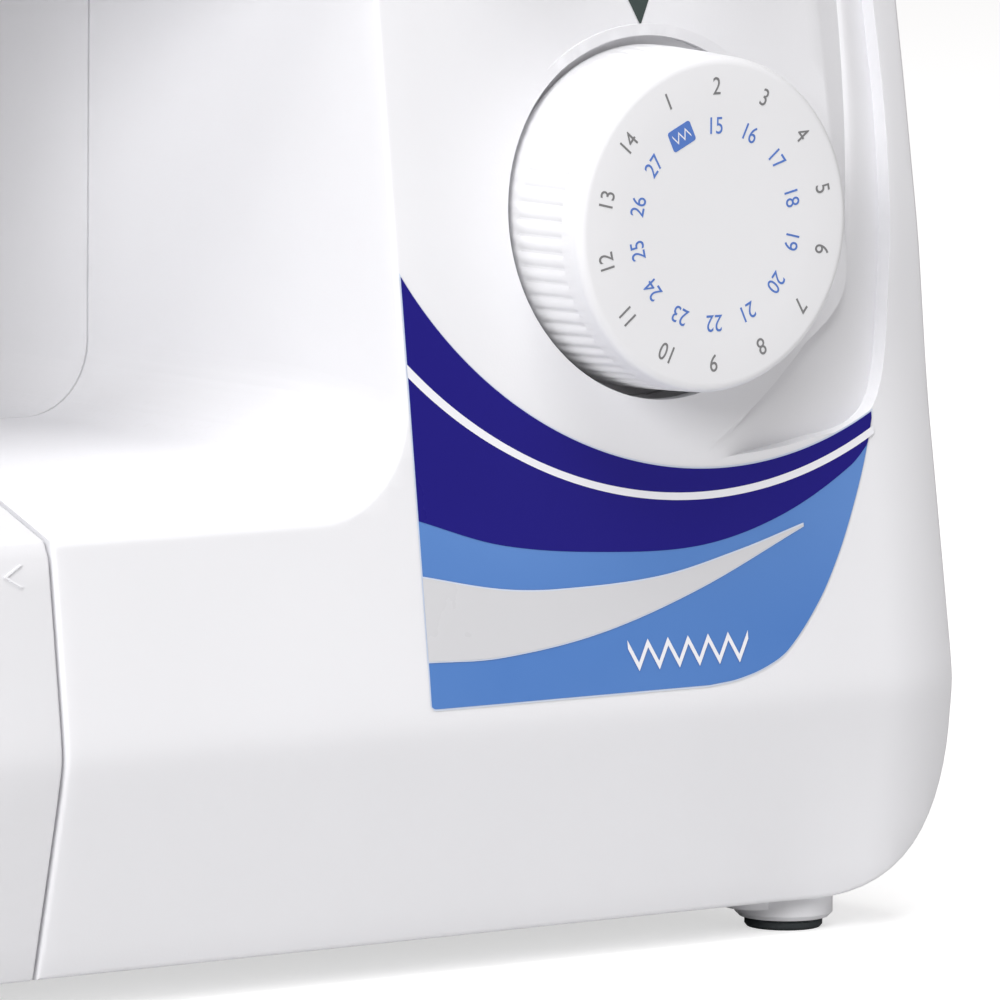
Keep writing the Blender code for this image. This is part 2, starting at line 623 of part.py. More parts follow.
def make_chassis():
    frame = plate("chassis", rounded([
        (-148 * MM, 44 * MM, 0),
        (118 * MM, 44 * MM, 0),
        (118 * MM, 262 * MM, 8 * MM),
        (-150 * MM, 262 * MM, 0),
        (-150 * MM, 205 * MM, 0),
        (50 * MM, 205 * MM, 12 * MM),
        (50 * MM, 62 * MM, 12 * MM),
        (-148 * MM, 62 * MM, 0),
    ], 2), "Y", PLATE_FRONT, PLATE_REAR, "casting")
    into = PLATE_FRONT + 1 * MM
    blocks = {
        "boss_right": ((104, 10, 221), (116, into / MM, 243)),
        "boss_left": ((-99, 10, 221), (-88, into / MM, 243)),
        "boss_lower_left": ((-100, 18, 44), (-90, into / MM, 61)),
        "boss_lower_right": ((70, 18, 44), (80, into / MM, 61)),
        "guide_upper": ((-140, 13, 250), (-126, into / MM, 256)),
        "guide_lower": ((-140, 13, 163), (-126, into / MM, 169)),
        "guide_web": ((-140, 39.5, 160), (-126, 43.5, 206)),
        "take_up_arm": ((-103, 12, 250), (-96, into / MM, 261)),
        "motor_arm": ((60, 11, 62), (68, into / MM, 72)),
        "post_right": ((54, 41.5, 9.7), (110, 47.5, 45)),
    }
    for name, (low, high) in blocks.items():
        join(frame, box(name, [v * MM for v in low], [v * MM for v in high]))
    join(frame, rod("take_up_pin", "X", (-109 * MM, TAKE_UP_Y, TAKE_UP_Z), 2 * MM, 8 * MM, steps=16))
    cut(
        frame,
        rod("bush_bores", "X", (-101 * MM, NEEDLE_Y, SHAFT_Z), 7.4 * MM, 220 * MM, steps=16),
        rod("lower_bores", "X", (-102 * MM, LOWER_Y, LOWER_Z), 4.3 * MM, 190 * MM, steps=16),
        rod("needle_bores", "Z", (NEEDLE_X, NEEDLE_Y, 150 * MM), BAR_R + 0.3 * MM, 120 * MM, steps=16),
        rod("presser_bores", "Z", (NEEDLE_X, PRESSER_Y, 150 * MM), BAR_R + 0.3 * MM, 120 * MM, steps=16),
        box("link_window", (-128 * MM, 30 * MM, 212 * MM), (-117 * MM, 60 * MM, 252 * MM)),
        box("column_window", (66 * MM, 30 * MM, 80 * MM), (104 * MM, 60 * MM, 190 * MM)),
    )


def make_drive():
    turned("arm_shaft", [
        (0, 284 * MM), (SHAFT_R, 284 * MM), (SHAFT_R, 247 * MM), (28 * MM, 247 * MM), (28 * MM, 237 * MM),
        (SHAFT_R, 237 * MM), (SHAFT_R, 211 * MM), (12 * MM, 211 * MM), (12 * MM, 199 * MM), (SHAFT_R, 199 * MM),
        (SHAFT_R, 0), (0, 0),
    ], "X", (-112 * MM, NEEDLE_Y, SHAFT_Z), "steel", 24)
    for name, x in (("bush_left", -99 * MM), ("bush_right", 104 * MM)):
        sleeve(name, "X", (x, NEEDLE_Y, SHAFT_Z), SHAFT_R + RUNNING, 7 * MM, 11 * MM, "bronze", 16)
    crank = sleeve("crank", "X", (-118 * MM, NEEDLE_Y, SHAFT_Z), SHAFT_R + RUNNING, 18 * MM, 7 * MM, "casting", 24)
    relief_at = (-120 * MM, NEEDLE_Y - 17 * MM, SHAFT_Z + 12 * MM)
    cut(crank, rod("crank_relief", "X", relief_at, 8 * MM, 12 * MM, steps=16))
    wheel = turned("handwheel", [
        (0, 23 * MM), (11 * MM, 23 * MM), (13 * MM, 20 * MM), (25 * MM, 19 * MM), (29 * MM, 22 * MM),
        (32 * MM, 20.5 * MM), (33 * MM, 17 * MM), (33 * MM, 7 * MM), (31 * MM, 2 * MM), (27 * MM, 0), (0, 0),
    ], "X", (157.5 * MM, NEEDLE_Y, SHAFT_Z), "grey", 32)
    cut(wheel, rod("wheel_bore", "X", (150 * MM, NEEDLE_Y, SHAFT_Z), SHAFT_R + RUNNING, 23 * MM))
    motor = rod("motor", "X", (55 * MM, -15 * MM, 48 * MM), 25 * MM, 66 * MM, "black", 24)
    cut(motor, rod("motor_bore", "X", (115 * MM, -15 * MM, 48 * MM), 2.5 * MM, 10 * MM, steps=16))
    turned("motor_pulley", [
        (0, 19 * MM), (8 * MM, 19 * MM), (8 * MM, 9 * MM), (2.2 * MM, 9 * MM), (2.2 * MM, 0), (0, 0),
    ], "X", (116.5 * MM, -15 * MM, 48 * MM), "steel", 16)
    shaft = (NEEDLE_Y, SHAFT_Z)
    belt("drive_belt", (-15 * MM, 48 * MM), 8 * MM, shaft, 28 * MM, 127 * MM, 133 * MM, "rubber", 10)
    belt("timing_belt", (LOWER_Y, LOWER_Z), 12 * MM, shaft, 12 * MM, 89 * MM, 97 * MM, "rubber")
    turned("lower_shaft", [
        (0, 237 * MM), (12 * MM, 237 * MM), (12 * MM, 223 * MM), (SHAFT_R, 223 * MM), (SHAFT_R, 8 * MM),
        (9 * MM, 8 * MM), (9 * MM, 0), (0, 0),
    ], "X", (-136.5 * MM, LOWER_Y, LOWER_Z), "steel", 24)


def make_needle_end():
    bar = rod("needle_bar", "Z", (NEEDLE_X, NEEDLE_Y, 136 * MM), BAR_R, 124 * MM, "steel", 16)
    join(bar, rod("bar_stud", "X", (NEEDLE_X, NEEDLE_Y, 205 * MM), 2 * MM, 11.4 * MM, steps=16))
    cut(bar, rod("needle_socket", "Z", (NEEDLE_X, NEEDLE_Y, 130 * MM), 1.3 * MM, 19 * MM, steps=16))
    link = plate("needle_link", rounded([
        (NEEDLE_Y - 5 * MM, 200 * MM, 4.9 * MM),
        (NEEDLE_Y + 5 * MM, 200 * MM, 4.9 * MM),
        (NEEDLE_Y + 5 * MM, 251 * MM, 4.9 * MM),
        (NEEDLE_Y - 5 * MM, 251 * MM, 4.9 * MM),
    ], 4), "X", -124.4 * MM, -121.4 * MM, "steel")
    join(link, rod("crank_pin", "X", (-123 * MM, NEEDLE_Y, SHAFT_Z + 14 * MM), 2.5 * MM, 4.6 * MM, steps=16))
    cut(link, rod("link_foot", "X", (-130 * MM, NEEDLE_Y, 205 * MM), 2.2 * MM, 20 * MM, steps=16))
    clamp = sleeve("needle_clamp", "Z", (NEEDLE_X, NEEDLE_Y, 137 * MM), BAR_R + 0.2 * MM, 6 * MM, 8 * MM, "steel")
    cut(clamp, rod("clamp_bore", "X", (NEEDLE_X + 2 * MM, NEEDLE_Y, 141 * MM), 1.8 * MM, 8 * MM, steps=12))
    turned("clamp_screw", [
        (0, 12 * MM), (3.6 * MM, 12 * MM), (3.6 * MM, 4 * MM), (1.5 * MM, 4 * MM), (1.5 * MM, 0), (0, 0),
    ], "X", (NEEDLE_X + 3.4 * MM, NEEDLE_Y, 141 * MM), "steel", 16)
    turned("needle", [
        (0, 38 * MM), (1 * MM, 38 * MM), (1 * MM, 26 * MM), (0.6 * MM, 23 * MM), (0.5 * MM, 4 * MM), (0, 0),
    ], "Z", (NEEDLE_X, NEEDLE_Y, 108 * MM), "steel", 12)
    lever = plate("take_up_lever", rounded([
        (TAKE_UP_Y + 5 * MM, TAKE_UP_Z - 5 * MM, 3 * MM),
        (TAKE_UP_Y + 5 * MM, TAKE_UP_Z + 5 * MM, 3 * MM),
        (-17 * MM, 262 * MM, 2 * MM),
        (-21 * MM, 257 * MM, 2 * MM),
        (-16 * MM, 255 * MM, 1 * MM),
    ], 3), "X", TAKE_UP_X - 1.5 * MM, TAKE_UP_X + 1.5 * MM, "steel")
    cut(
        lever,
        rod("take_up_bore", "X", (-115 * MM, TAKE_UP_Y, TAKE_UP_Z), 2.2 * MM, 20 * MM, steps=16),
        rod("take_up_eye", "X", (-115 * MM, -17 * MM, 258.4 * MM), 1 * MM, 20 * MM, steps=12),
    )


def make_presser():
    bar = rod("presser_bar", "Z", (NEEDLE_X, PRESSER_Y, 108 * MM + RAISED), BAR_R, 134 * MM, "steel", 16)
    join(bar, rod("presser_collar", "Z", (NEEDLE_X, PRESSER_Y, 182 * MM + RAISED), 6 * MM, 6 * MM, steps=16))
    coil = bpy.data.curves.new("presser_spring", "CURVE")
    coil.dimensions = "3D"
    coil.bevel_depth = 0.6 * MM
    coil.bevel_resolution = 1
    coil.use_fill_caps = True
    spline = coil.splines.new("POLY")
    turns, each = 6, 8
    spline.points.add(turns * each)
    for i, point in enumerate(spline.points):
        turn = 2 * math.pi * i / each
        height = 195.5 * MM + 53.5 * MM * i / (turns * each)
        point.co = (NEEDLE_X + 4.6 * MM * math.cos(turn), PRESSER_Y + 4.6 * MM * math.sin(turn), height, 1)
    spring = bpy.data.objects.new("presser_spring", coil)
    bpy.data.collections["sewing_machine"].objects.link(spring)
    coil.materials.append(material("steel"))
    floor = 106 * MM + RAISED
    holder = box("foot_holder", (-138 * MM, 28.6 * MM, floor), (-127 * MM, 39 * MM, floor + 13 * MM), "steel")
    join(
        holder,
        box("ankle", (-134.5 * MM, 28.6 * MM, floor - 9.6 * MM), (-130.5 * MM, 35 * MM, floor + 2 * MM)),
        box("toe_hook", (-134.5 * MM, 25 * MM, floor - 10.4 * MM), (-130.5 * MM, 35 * MM, floor - 6.6 * MM)),
    )
    pivot = floor - 8.5 * MM
    cut(holder, rod("holder_bore", "Z", (NEEDLE_X, PRESSER_Y, floor + 1.7 * MM), BAR_R + 0.25 * MM, 20 * MM, steps=16),
        rod("toe_pin_bore", "X", (-140 * MM, 27.4 * MM, pivot), 1.25 * MM, 20 * MM, steps=12))
    sole = floor - 14.1 * MM
    foot = plate("presser_foot", rounded([
        (-141 * MM, 6 * MM, 3 * MM),
        (-124 * MM, 6 * MM, 3 * MM),
        (-124 * MM, 36 * MM, 2 * MM),
        (-141 * MM, 36 * MM, 2 * MM),
    ], 2), "Z", sole, sole + 1.7 * MM, "steel")
    for x in (-137.5 * MM, -129.5 * MM):
        join(foot, box(f"ear_{x:.3f}", (x, 24 * MM, sole + 1 * MM), (x + 2 * MM, 32 * MM, pivot + 2.5 * MM)))
    join(foot, rod("toe_pin", "X", (-137 * MM, 27.4 * MM, pivot), 1 * MM, 9 * MM, steps=12))
    cut(foot, box("foot_slot", (-136 * MM, 18.4 * MM, 90 * MM), (-129 * MM, 22.6 * MM, 110 * MM)),
        box("toe_gap", (-133.6 * MM, 0, 90 * MM), (-131.4 * MM, 20 * MM, 110 * MM)))
    plate("presser_lever", rounded([
        (44.5 * MM, 171 * MM, 4 * MM),
        (56 * MM, 171 * MM, 3 * MM),
        (79 * MM, 177 * MM, 2 * MM),
        (79 * MM, 184 * MM, 2 * MM),
        (56 * MM, 182 * MM, 3 * MM),
        (44.5 * MM, 182 * MM, 4 * MM),
    ], 2), "X", -137 * MM, -131 * MM, "grey")


def make_hook():
    turned("hook", [
        (0, 67 * MM), (16.4 * MM, 67 * MM), (16.4 * MM, 82 * MM), (18 * MM, 82 * MM), (18 * MM, 64 * MM),
        (4 * MM, 63 * MM), (4 * MM, 58 * MM), (11 * MM, 58 * MM), (11 * MM, 46 * MM), (0, 46 * MM),
    ], "Z", (NEEDLE_X, HOOK_Y, 0), "steel")
    turned("bobbin_case", [
        (0, 80 * MM), (2.6 * MM, 80 * MM), (2.6 * MM, 70 * MM), (12 * MM, 70 * MM), (12 * MM, 84 * MM),
        (14 * MM, 84 * MM), (14 * MM, 68 * MM), (0, 68 * MM),
    ], "Z", (NEEDLE_X, HOOK_Y, 0), "black")
    turned("bobbin", [
        (10.3 * MM, 82 * MM), (10.3 * MM, 80.8 * MM), (5 * MM, 80.8 * MM), (5 * MM, 71.6 * MM), (10.3 * MM, 71.6 * MM),
        (10.3 * MM, 70.4 * MM), (3 * MM, 70.4 * MM), (3 * MM, 82 * MM),
    ], "Z", (NEEDLE_X, HOOK_Y, 0), "clear", 16)
    feed = box("feed_dog", (-141.5 * MM, 27 * MM, 82 * MM), (-123.5 * MM, 37 * MM, 86 * MM), "steel")
    join(feed, box("feed_bar", (-126 * MM, 29 * MM, 78 * MM), (-60 * MM, 35 * MM, 84 * MM)))
    for x in TEETH_X:
        join(feed, box(f"teeth_{x:.3f}", (x - 1.2 * MM, 25 * MM, 84 * MM), (x + 1.2 * MM, 37 * MM, 91.5 * MM)))


# ---- controls and fittings ----------------------------------------------------------------------------
def knob(name, centre, radius, back, face, shaft_end, colour="dial_white", steps=24, shaft=4 * MM):
    """A dial on a shaft that runs back along Y. centre is (x, z)."""
    depth = shaft_end - face
    rim = min(2 * MM, radius / 6)
    height = back - face
    return turned(name, [
        (0, depth), (shaft, depth), (shaft, height), (radius, height), (radius, rim), (radius - 0.3 * rim, 0.3 * rim),
        (radius - rim, 0), (0, 0),
    ], "Y", (centre[0], face, centre[1]), colour, steps)


def make_dials():
    back = WELL_FLOOR_Y - DIAL_CLEAR
    knob("pattern_dial", (DIAL_X, DIAL_Z), DIAL_R, back, -HALF_DEPTH, -46 * MM, steps=40, shaft=5 * MM)
    cam = sleeve("pattern_cam", "Y", (DIAL_X, -52 * MM, DIAL_Z), 5.2 * MM, 20 * MM, 26 * MM, "black", 24)
    cut(cam, rod("cam_flat", "Y", (DIAL_X + 24 * MM, -47 * MM, DIAL_Z), 8 * MM, 15 * MM, steps=12))
    knob("length_dial", LENGTH_DIAL, 14 * MM, -54.6 * MM, -67 * MM, -40 * MM)
    knob("width_dial", WIDTH_DIAL, 14 * MM, -54.6 * MM, -67 * MM, -40 * MM)
    knob("tension_dial", TENSION_DIAL, 11 * MM, -17 * MM, -27 * MM, -2 * MM)
    plate("reverse_lever", rounded([
        (-62 * MM, 221 * MM, 2 * MM),
        (-50 * MM, 221 * MM, 1 * MM),
        (-49 * MM, 224 * MM, 1 * MM),
        (-24 * MM, 224 * MM, 2 * MM),
        (-24 * MM, 232 * MM, 3 * MM),
        (-62 * MM, 231 * MM, 3 * MM),
    ], 3), "X", REVERSE_X - 5 * MM, REVERSE_X + 5 * MM, "dial_white")
    box("buttonhole_lever", (-151 * MM, -4 * MM, 128 * MM), (-147 * MM, 4 * MM, 195 * MM), "grey", 0.8 * MM)


def make_fittings():
    handle = plate("carry_handle", rounded([
        (-72 * MM, 34.5 * MM, 2 * MM),
        (-61 * MM, 34.5 * MM, 2 * MM),
        (-61 * MM, 50 * MM, 5 * MM),
        (61 * MM, 50 * MM, 5 * MM),
        (61 * MM, 34.5 * MM, 2 * MM),
        (72 * MM, 34.5 * MM, 2 * MM),
        (72 * MM, 60 * MM, 10 * MM),
        (-72 * MM, 60 * MM, 10 * MM),
    ], 4), "Z", 268.8 * MM, 278 * MM, "white")
    round_off = handle.modifiers.new("round", "BEVEL")
    round_off.width = 1.5 * MM
    round_off.segments = 1
    round_off.limit_method = "ANGLE"
    turned("spool_pin", [
        (0, 44 * MM), (4 * MM, 44 * MM), (5 * MM, 42 * MM), (5 * MM, 36 * MM), (2.8 * MM, 36 * MM), (2.8 * MM, 0),
        (0, 0),
    ], "Z", (*SPOOL, 244.6 * MM), "grey", 16)
    turned("bobbin_winder", [
        (0, 37 * MM), (1.5 * MM, 37 * MM), (3 * MM, 35 * MM), (3 * MM, 22.5 * MM), (9 * MM, 22.5 * MM),
        (9 * MM, 19.6 * MM), (3 * MM, 19.6 * MM), (3 * MM, 0), (0, 0),
    ], "Z", (*WINDER, 261 * MM), "white", 24)
    turned("winder_stop", [
        (0, 9 * MM), (4 * MM, 9 * MM), (6 * MM, 7 * MM), (6 * MM, 0), (0, 0),
    ], "Z", (128 * MM, 4 * MM, BODY_TOP + GAP), "white", 24)
    guide = box("thread_guide", (-58 * MM, 2 * MM, BODY_TOP + GAP), (-46 * MM, 12 * MM, 288 * MM), "grey", 0.6 * MM)
    cut(guide, rod("guide_eye", "X", (-62 * MM, 6 * MM, 284 * MM), 2 * MM, 20 * MM, steps=16))
    box("lamp_lens", (-119 * MM, -6 * MM, 160.4 * MM), (-104 * MM, 12 * MM, 167 * MM), "clear", 1 * MM)
    inlet = box("power_inlet", (143.5 * MM, 30 * MM, 40 * MM), (160.4 * MM, 54 * MM, 60 * MM), "black")
    cut(inlet, box("inlet_recess", (148.5 * MM, 34 * MM, 44 * MM), (166.5 * MM, 50 * MM, 56 * MM)))
    join(inlet, *(rod(f"inlet_pin_{y:.3f}", "X", (147.5 * MM, y, 50 * MM), 1.2 * MM, 9 * MM, steps=12)
                  for y in (38 * MM, 46 * MM)))
    plate("power_switch", [
        (147.4 * MM, 76 * MM), (161.4 * MM, 75 * MM), (159.8 * MM, 86 * MM),
        (161.4 * MM, 97 * MM), (147.4 * MM, 96 * MM),
    ], "Y", 34 * MM, 50 * MM, "black")


def make_label():
    """Decorative panel sticker, on the leaning front."""
    shape = [
        (39.8, 48), (106.5, 48), (118.1, 53.2), (125.6, 61.5), (130.9, 69.9), (135, 78.2), (139.6, 92.6),
        (130.5, 89.6), (119.1, 86.8), (105.7, 85.6), (92.6, 86.5), (79.8, 89.9), (67.3, 94.9), (55.2, 102.4),
        (45.5, 112.3), (39.8, 120.5),
    ]

    def ring(lift):
        return [(x * MM, front_skin(60 * MM, z * MM) - lift, z * MM) for x, z in shape]

    loft("front_label", [ring(0.1 * MM), ring(0.4 * MM)], "grey")


def main():
    clear_scene()
    new_collection("sewing_machine")
    new_collection("cutters")
    make_front_cover()
    make_rear_cover()
    make_face_cover()
    make_bottom_cover()
    make_free_arm()
    make_attachment()
    make_chassis()
    make_drive()
    make_needle_end()
    make_presser()
    make_hook()
    make_dials()
    make_fittings()
    make_label()


main()
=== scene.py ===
# %% [markdown]
# # A free-arm sewing machine
#
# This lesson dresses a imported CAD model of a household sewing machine. The CAD model already holds every
# piece, its place and its joints. Here each outer piece gets its real curves, and each surface its finish.
# The work goes from the outside in: camera and light first, then finishes, covers, label, dials and works.

import json
import math

import bmesh
import bpy
from mathutils import Matrix, Vector

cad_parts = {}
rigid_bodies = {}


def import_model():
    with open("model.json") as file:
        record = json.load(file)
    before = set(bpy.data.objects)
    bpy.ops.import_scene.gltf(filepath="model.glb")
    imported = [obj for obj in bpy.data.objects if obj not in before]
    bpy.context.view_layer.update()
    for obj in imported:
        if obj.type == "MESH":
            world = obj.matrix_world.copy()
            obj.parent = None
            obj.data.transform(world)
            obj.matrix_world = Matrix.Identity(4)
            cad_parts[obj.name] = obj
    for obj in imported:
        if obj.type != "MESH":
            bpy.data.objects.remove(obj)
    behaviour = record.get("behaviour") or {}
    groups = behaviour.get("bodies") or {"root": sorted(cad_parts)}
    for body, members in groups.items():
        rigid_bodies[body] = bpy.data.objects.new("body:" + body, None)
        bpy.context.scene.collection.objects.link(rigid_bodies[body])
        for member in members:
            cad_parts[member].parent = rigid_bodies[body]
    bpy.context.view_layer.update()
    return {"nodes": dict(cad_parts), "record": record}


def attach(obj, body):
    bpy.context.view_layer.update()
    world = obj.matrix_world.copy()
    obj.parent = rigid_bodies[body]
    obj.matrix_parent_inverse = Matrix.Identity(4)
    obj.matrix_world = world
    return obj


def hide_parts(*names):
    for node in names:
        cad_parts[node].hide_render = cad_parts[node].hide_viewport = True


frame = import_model()
MM = 0.001
scene = bpy.context.scene

# %% [markdown]
# ## Camera
#
# The machine is seen from its left and a little above, close enough that only the pillar end fills the
# view. The camera is given by where it stands and by three turns: round, down and a slight tilt. Its
# matrix is put together from the three directions it faces, which is easier to read than Euler angles.

# %% Camera
CAMERA_PLACE = Vector((-944.5, -1436.5, 276)) * MM
CAMERA_ROUND, CAMERA_DOWN, CAMERA_TILT = math.radians(36.24), math.radians(6.51), math.radians(0.5)


def make_camera():
    data = bpy.data.cameras.new("camera")
    data.sensor_width = 36
    data.lens = 356.3
    data.clip_start = 0.05
    data.clip_end = 50
    camera = bpy.data.objects.new("camera", data)
    scene.collection.objects.link(camera)
    ahead = Vector((
        math.sin(CAMERA_ROUND) * math.cos(CAMERA_DOWN),
        math.cos(CAMERA_ROUND) * math.cos(CAMERA_DOWN),
        -math.sin(CAMERA_DOWN),
    ))
    level = Vector((math.cos(CAMERA_ROUND), -math.sin(CAMERA_ROUND), 0))
    upright = level.cross(ahead)
    right = level * math.cos(CAMERA_TILT) + upright * math.sin(CAMERA_TILT)
    up = upright * math.cos(CAMERA_TILT) - level * math.sin(CAMERA_TILT)
    turn = Matrix((right, up, -ahead)).transposed().to_4x4()
    camera.matrix_world = Matrix.Translation(CAMERA_PLACE) @ turn
    scene.camera = camera
    return camera


camera = make_camera()
print("camera looks along", [round(v, 3) for v in -camera.matrix_world.col[2].xyz])

# %% [markdown]
# ## Floor and light
#
# A white object on a white ground needs light from one side more than the other, or its edges vanish.
# A big soft key light stands far out to the left, and a second hangs high above the front. The floor glows,
# but only for the camera. The world is plain white where the camera sees it and dimmer where it lights.

# %% Floor and light
def make_floor():
    mesh = bpy.data.meshes.new("floor")
    bm = bmesh.new()
    bmesh.ops.create_grid(bm, x_segments=1, y_segments=1, size=14)
    bm.to_mesh(mesh)
    bm.free()
    floor = bpy.data.objects.new("floor", mesh)
    scene.collection.objects.link(floor)
    paint = bpy.data.materials.new("floor_paint")
    paint.use_nodes = True
    shader = paint.node_tree.nodes["Principled BSDF"]
    shader.inputs["Base Color"].default_value = (0.72, 0.72, 0.72, 1)
    shader.inputs["Roughness"].default_value = 0.9
    shader.inputs["Specular IOR Level"].default_value = 0.1
    shader.inputs["Emission Color"].default_value = (1, 1, 1, 1)
    seen = paint.node_tree.nodes.new("ShaderNodeLightPath")
    glow = paint.node_tree.nodes.new("ShaderNodeMath")
    glow.operation = "MULTIPLY"
    glow.inputs[1].default_value = 0.6
    paint.node_tree.links.new(seen.outputs["Is Camera Ray"], glow.inputs[0])
    paint.node_tree.links.new(glow.outputs["Value"], shader.inputs["Emission Strength"])
    mesh.materials.append(paint)
    return floor


def make_light(name, place, aim, width, height, power):
    data = bpy.data.lights.new(name, "AREA")
    data.shape = "RECTANGLE"
    data.size = width
    data.size_y = height
    data.energy = power
    lamp = bpy.data.objects.new(name, data)
    scene.collection.objects.link(lamp)
    lamp.location = place
    lamp.rotation_euler = (Vector(aim) - Vector(place)).to_track_quat("-Z", "Y").to_euler()
    return lamp


def make_world():
    world = bpy.data.worlds.new("studio")
    world.use_nodes = True
    tree = world.node_tree
    tree.nodes.clear()
    out = tree.nodes.new("ShaderNodeOutputWorld")
    mix = tree.nodes.new("ShaderNodeMixShader")
    seen = tree.nodes.new("ShaderNodeLightPath")
    fill = tree.nodes.new("ShaderNodeBackground")
    fill.inputs["Color"].default_value = (1, 0.965, 0.955, 1)
    fill.inputs["Strength"].default_value = 0.3
    plain = tree.nodes.new("ShaderNodeBackground")
    plain.inputs["Strength"].default_value = 1.0
    plain.inputs["Color"].default_value = (1, 1, 1, 1)
    tree.links.new(seen.outputs["Is Camera Ray"], mix.inputs["Fac"])
    tree.links.new(fill.outputs["Background"], mix.inputs[1])
    tree.links.new(plain.outputs["Background"], mix.inputs[2])
    tree.links.new(mix.outputs["Shader"], out.inputs["Surface"])
    scene.world = world


make_floor()
make_light("key_light", (-2.55, -1.75, 1.6), (0.05, 0, 0.12), 1.6, 1.4, 76)
make_light("high_light", (-0.4, -0.75, 2.9), (0.0, 0, 0.1), 1.8, 1.4, 60)
make_world()
scene.view_settings.view_transform = "Standard"

# %% [markdown]
# ## Effects that finishes share
#
# A moulded cover isn't one flat colour. The tool leaves a fine grain, hands leave smooth and dull
# patches, and edges are rubbed lighter. Each effect is a node group, built once. A group puts out only
# masks and heights. The shader itself stays in each material, where it can be read by other programs.

# %% Node helpers
def add_node(tree, kind, links=None, **settings):
    """A shader node with its settings, and its inputs set to a value or linked to a socket."""
    made = tree.nodes.new("ShaderNode" + kind)
    for name, value in settings.items():
        setattr(made, name, value)
    for socket, value in (links or {}).items():
        if isinstance(value, bpy.types.NodeSocket):
            tree.links.new(value, made.inputs[socket])
        else:
            made.inputs[socket].default_value = value
    return made


def new_group(name, inputs, outputs):
    tree = bpy.data.node_groups.new(name, "ShaderNodeTree")
    for label, kind, value in inputs:
        tree.interface.new_socket(label, in_out="INPUT", socket_type=kind).default_value = value
    for label in outputs:
        tree.interface.new_socket(label, in_out="OUTPUT", socket_type="NodeSocketFloat")
    return tree, tree.nodes.new("NodeGroupInput"), tree.nodes.new("NodeGroupOutput")


def use_group(tree, group, links=None):
    made = tree.nodes.new("ShaderNodeGroup")
    made.node_tree = group
    for socket, value in (links or {}).items():
        if isinstance(value, bpy.types.NodeSocket):
            tree.links.new(value, made.inputs[socket])
        else:
            made.inputs[socket].default_value = value
    return made


def spread(tree, value, low, high, to_low, to_high):
    """A value's range stretched onto another range, and kept inside it."""
    return add_node(tree, "MapRange", {
        "Value": value, "From Min": low, "From Max": high, "To Min": to_low, "To Max": to_high,
    }).outputs["Result"]


print("node helpers ready")

# %% Mould grain group
def make_grain_group():
    tree, start, end = new_group("mould_grain", [("Scale", "NodeSocketFloat", 2400.0)], ["Height", "Mottle"])
    place = add_node(tree, "TexCoord").outputs["Object"]
    fine = add_node(tree, "TexNoise", {"Vector": place, "Scale": start.outputs["Scale"], "Detail": 3.0})
    broad = add_node(tree, "TexNoise", {"Vector": place, "Scale": 16.0, "Detail": 4.0})
    tree.links.new(fine.outputs["Fac"], end.inputs["Height"])
    tree.links.new(spread(tree, broad.outputs["Fac"], 0.3, 0.7, 0.0, 1.0), end.inputs["Mottle"])
    return tree


MOULD_GRAIN = make_grain_group()
print("group:", MOULD_GRAIN.name)

# %% Handling wear group
def make_wear_group():
    tree, start, end = new_group(
        "handling_wear", [("Edge Low", "NodeSocketFloat", 0.53)], ["Edge", "Smudge", "Dust"]
    )
    place = add_node(tree, "TexCoord").outputs["Object"]
    shape = add_node(tree, "NewGeometry")
    edge = add_node(tree, "MapRange", {
        "Value": shape.outputs["Pointiness"], "From Min": start.outputs["Edge Low"], "From Max": 0.66,
    }).outputs["Result"]
    broken = add_node(tree, "TexNoise", {"Vector": place, "Scale": 140.0, "Detail": 5.0}).outputs["Fac"]
    worn = add_node(tree, "Math", {0: edge, 1: spread(tree, broken, 0.4, 0.6, 0.0, 1.0)},
        operation="MULTIPLY")
    hands = add_node(tree, "TexNoise", {"Vector": place, "Scale": 24.0, "Detail": 6.0}).outputs["Fac"]
    upward = add_node(tree, "SeparateXYZ", {"Vector": shape.outputs["Normal"]}).outputs["Z"]
    grains = add_node(tree, "TexNoise", {"Vector": place, "Scale": 900.0, "Detail": 2.0}).outputs["Fac"]
    dust = add_node(tree, "Math", {
        0: spread(tree, upward, 0.4, 1.0, 0.0, 1.0), 1: spread(tree, grains, 0.56, 0.7, 0.0, 1.0),
    }, operation="MULTIPLY")
    tree.links.new(worn.outputs["Value"], end.inputs["Edge"])
    tree.links.new(spread(tree, hands, 0.35, 0.7, 0.0, 1.0), end.inputs["Smudge"])
    tree.links.new(dust.outputs["Value"], end.inputs["Dust"])
    return tree


HANDLING_WEAR = make_wear_group()
print("group:", HANDLING_WEAR.name)

# %% Tool marks group
def make_machining_group():
    tree, start, end = new_group(
        "tool_marks", [("Stretch", "NodeSocketVector", (300.0, 300.0, 9000.0))], ["Height", "Streak"]
    )
    place = add_node(tree, "TexCoord").outputs["Object"]
    pulled = add_node(tree, "VectorMath", {0: place, 1: start.outputs["Stretch"]}, operation="MULTIPLY")
    fine = add_node(tree, "TexNoise", {"Vector": pulled.outputs["Vector"], "Scale": 1.0, "Detail": 4.0})
    broad = add_node(tree, "TexNoise", {"Vector": place, "Scale": 90.0, "Detail": 4.0})
    tree.links.new(fine.outputs["Fac"], end.inputs["Height"])
    tree.links.new(spread(tree, broad.outputs["Fac"], 0.3, 0.7, 0.0, 1.0), end.inputs["Streak"])
    return tree


TOOL_MARKS = make_machining_group()
print("group:", TOOL_MARKS.name)

# %% [markdown]
# ## Finishes
#
# The covers are white satin plastic with a fine grain. The dials are the same plastic, a little smoother.
# Ink is printed on film and on the dial. Inside are ground steel, cast metal, bronze bushes and rubber.
# Every finish is one short function of colour, roughness and how strongly each effect shows.

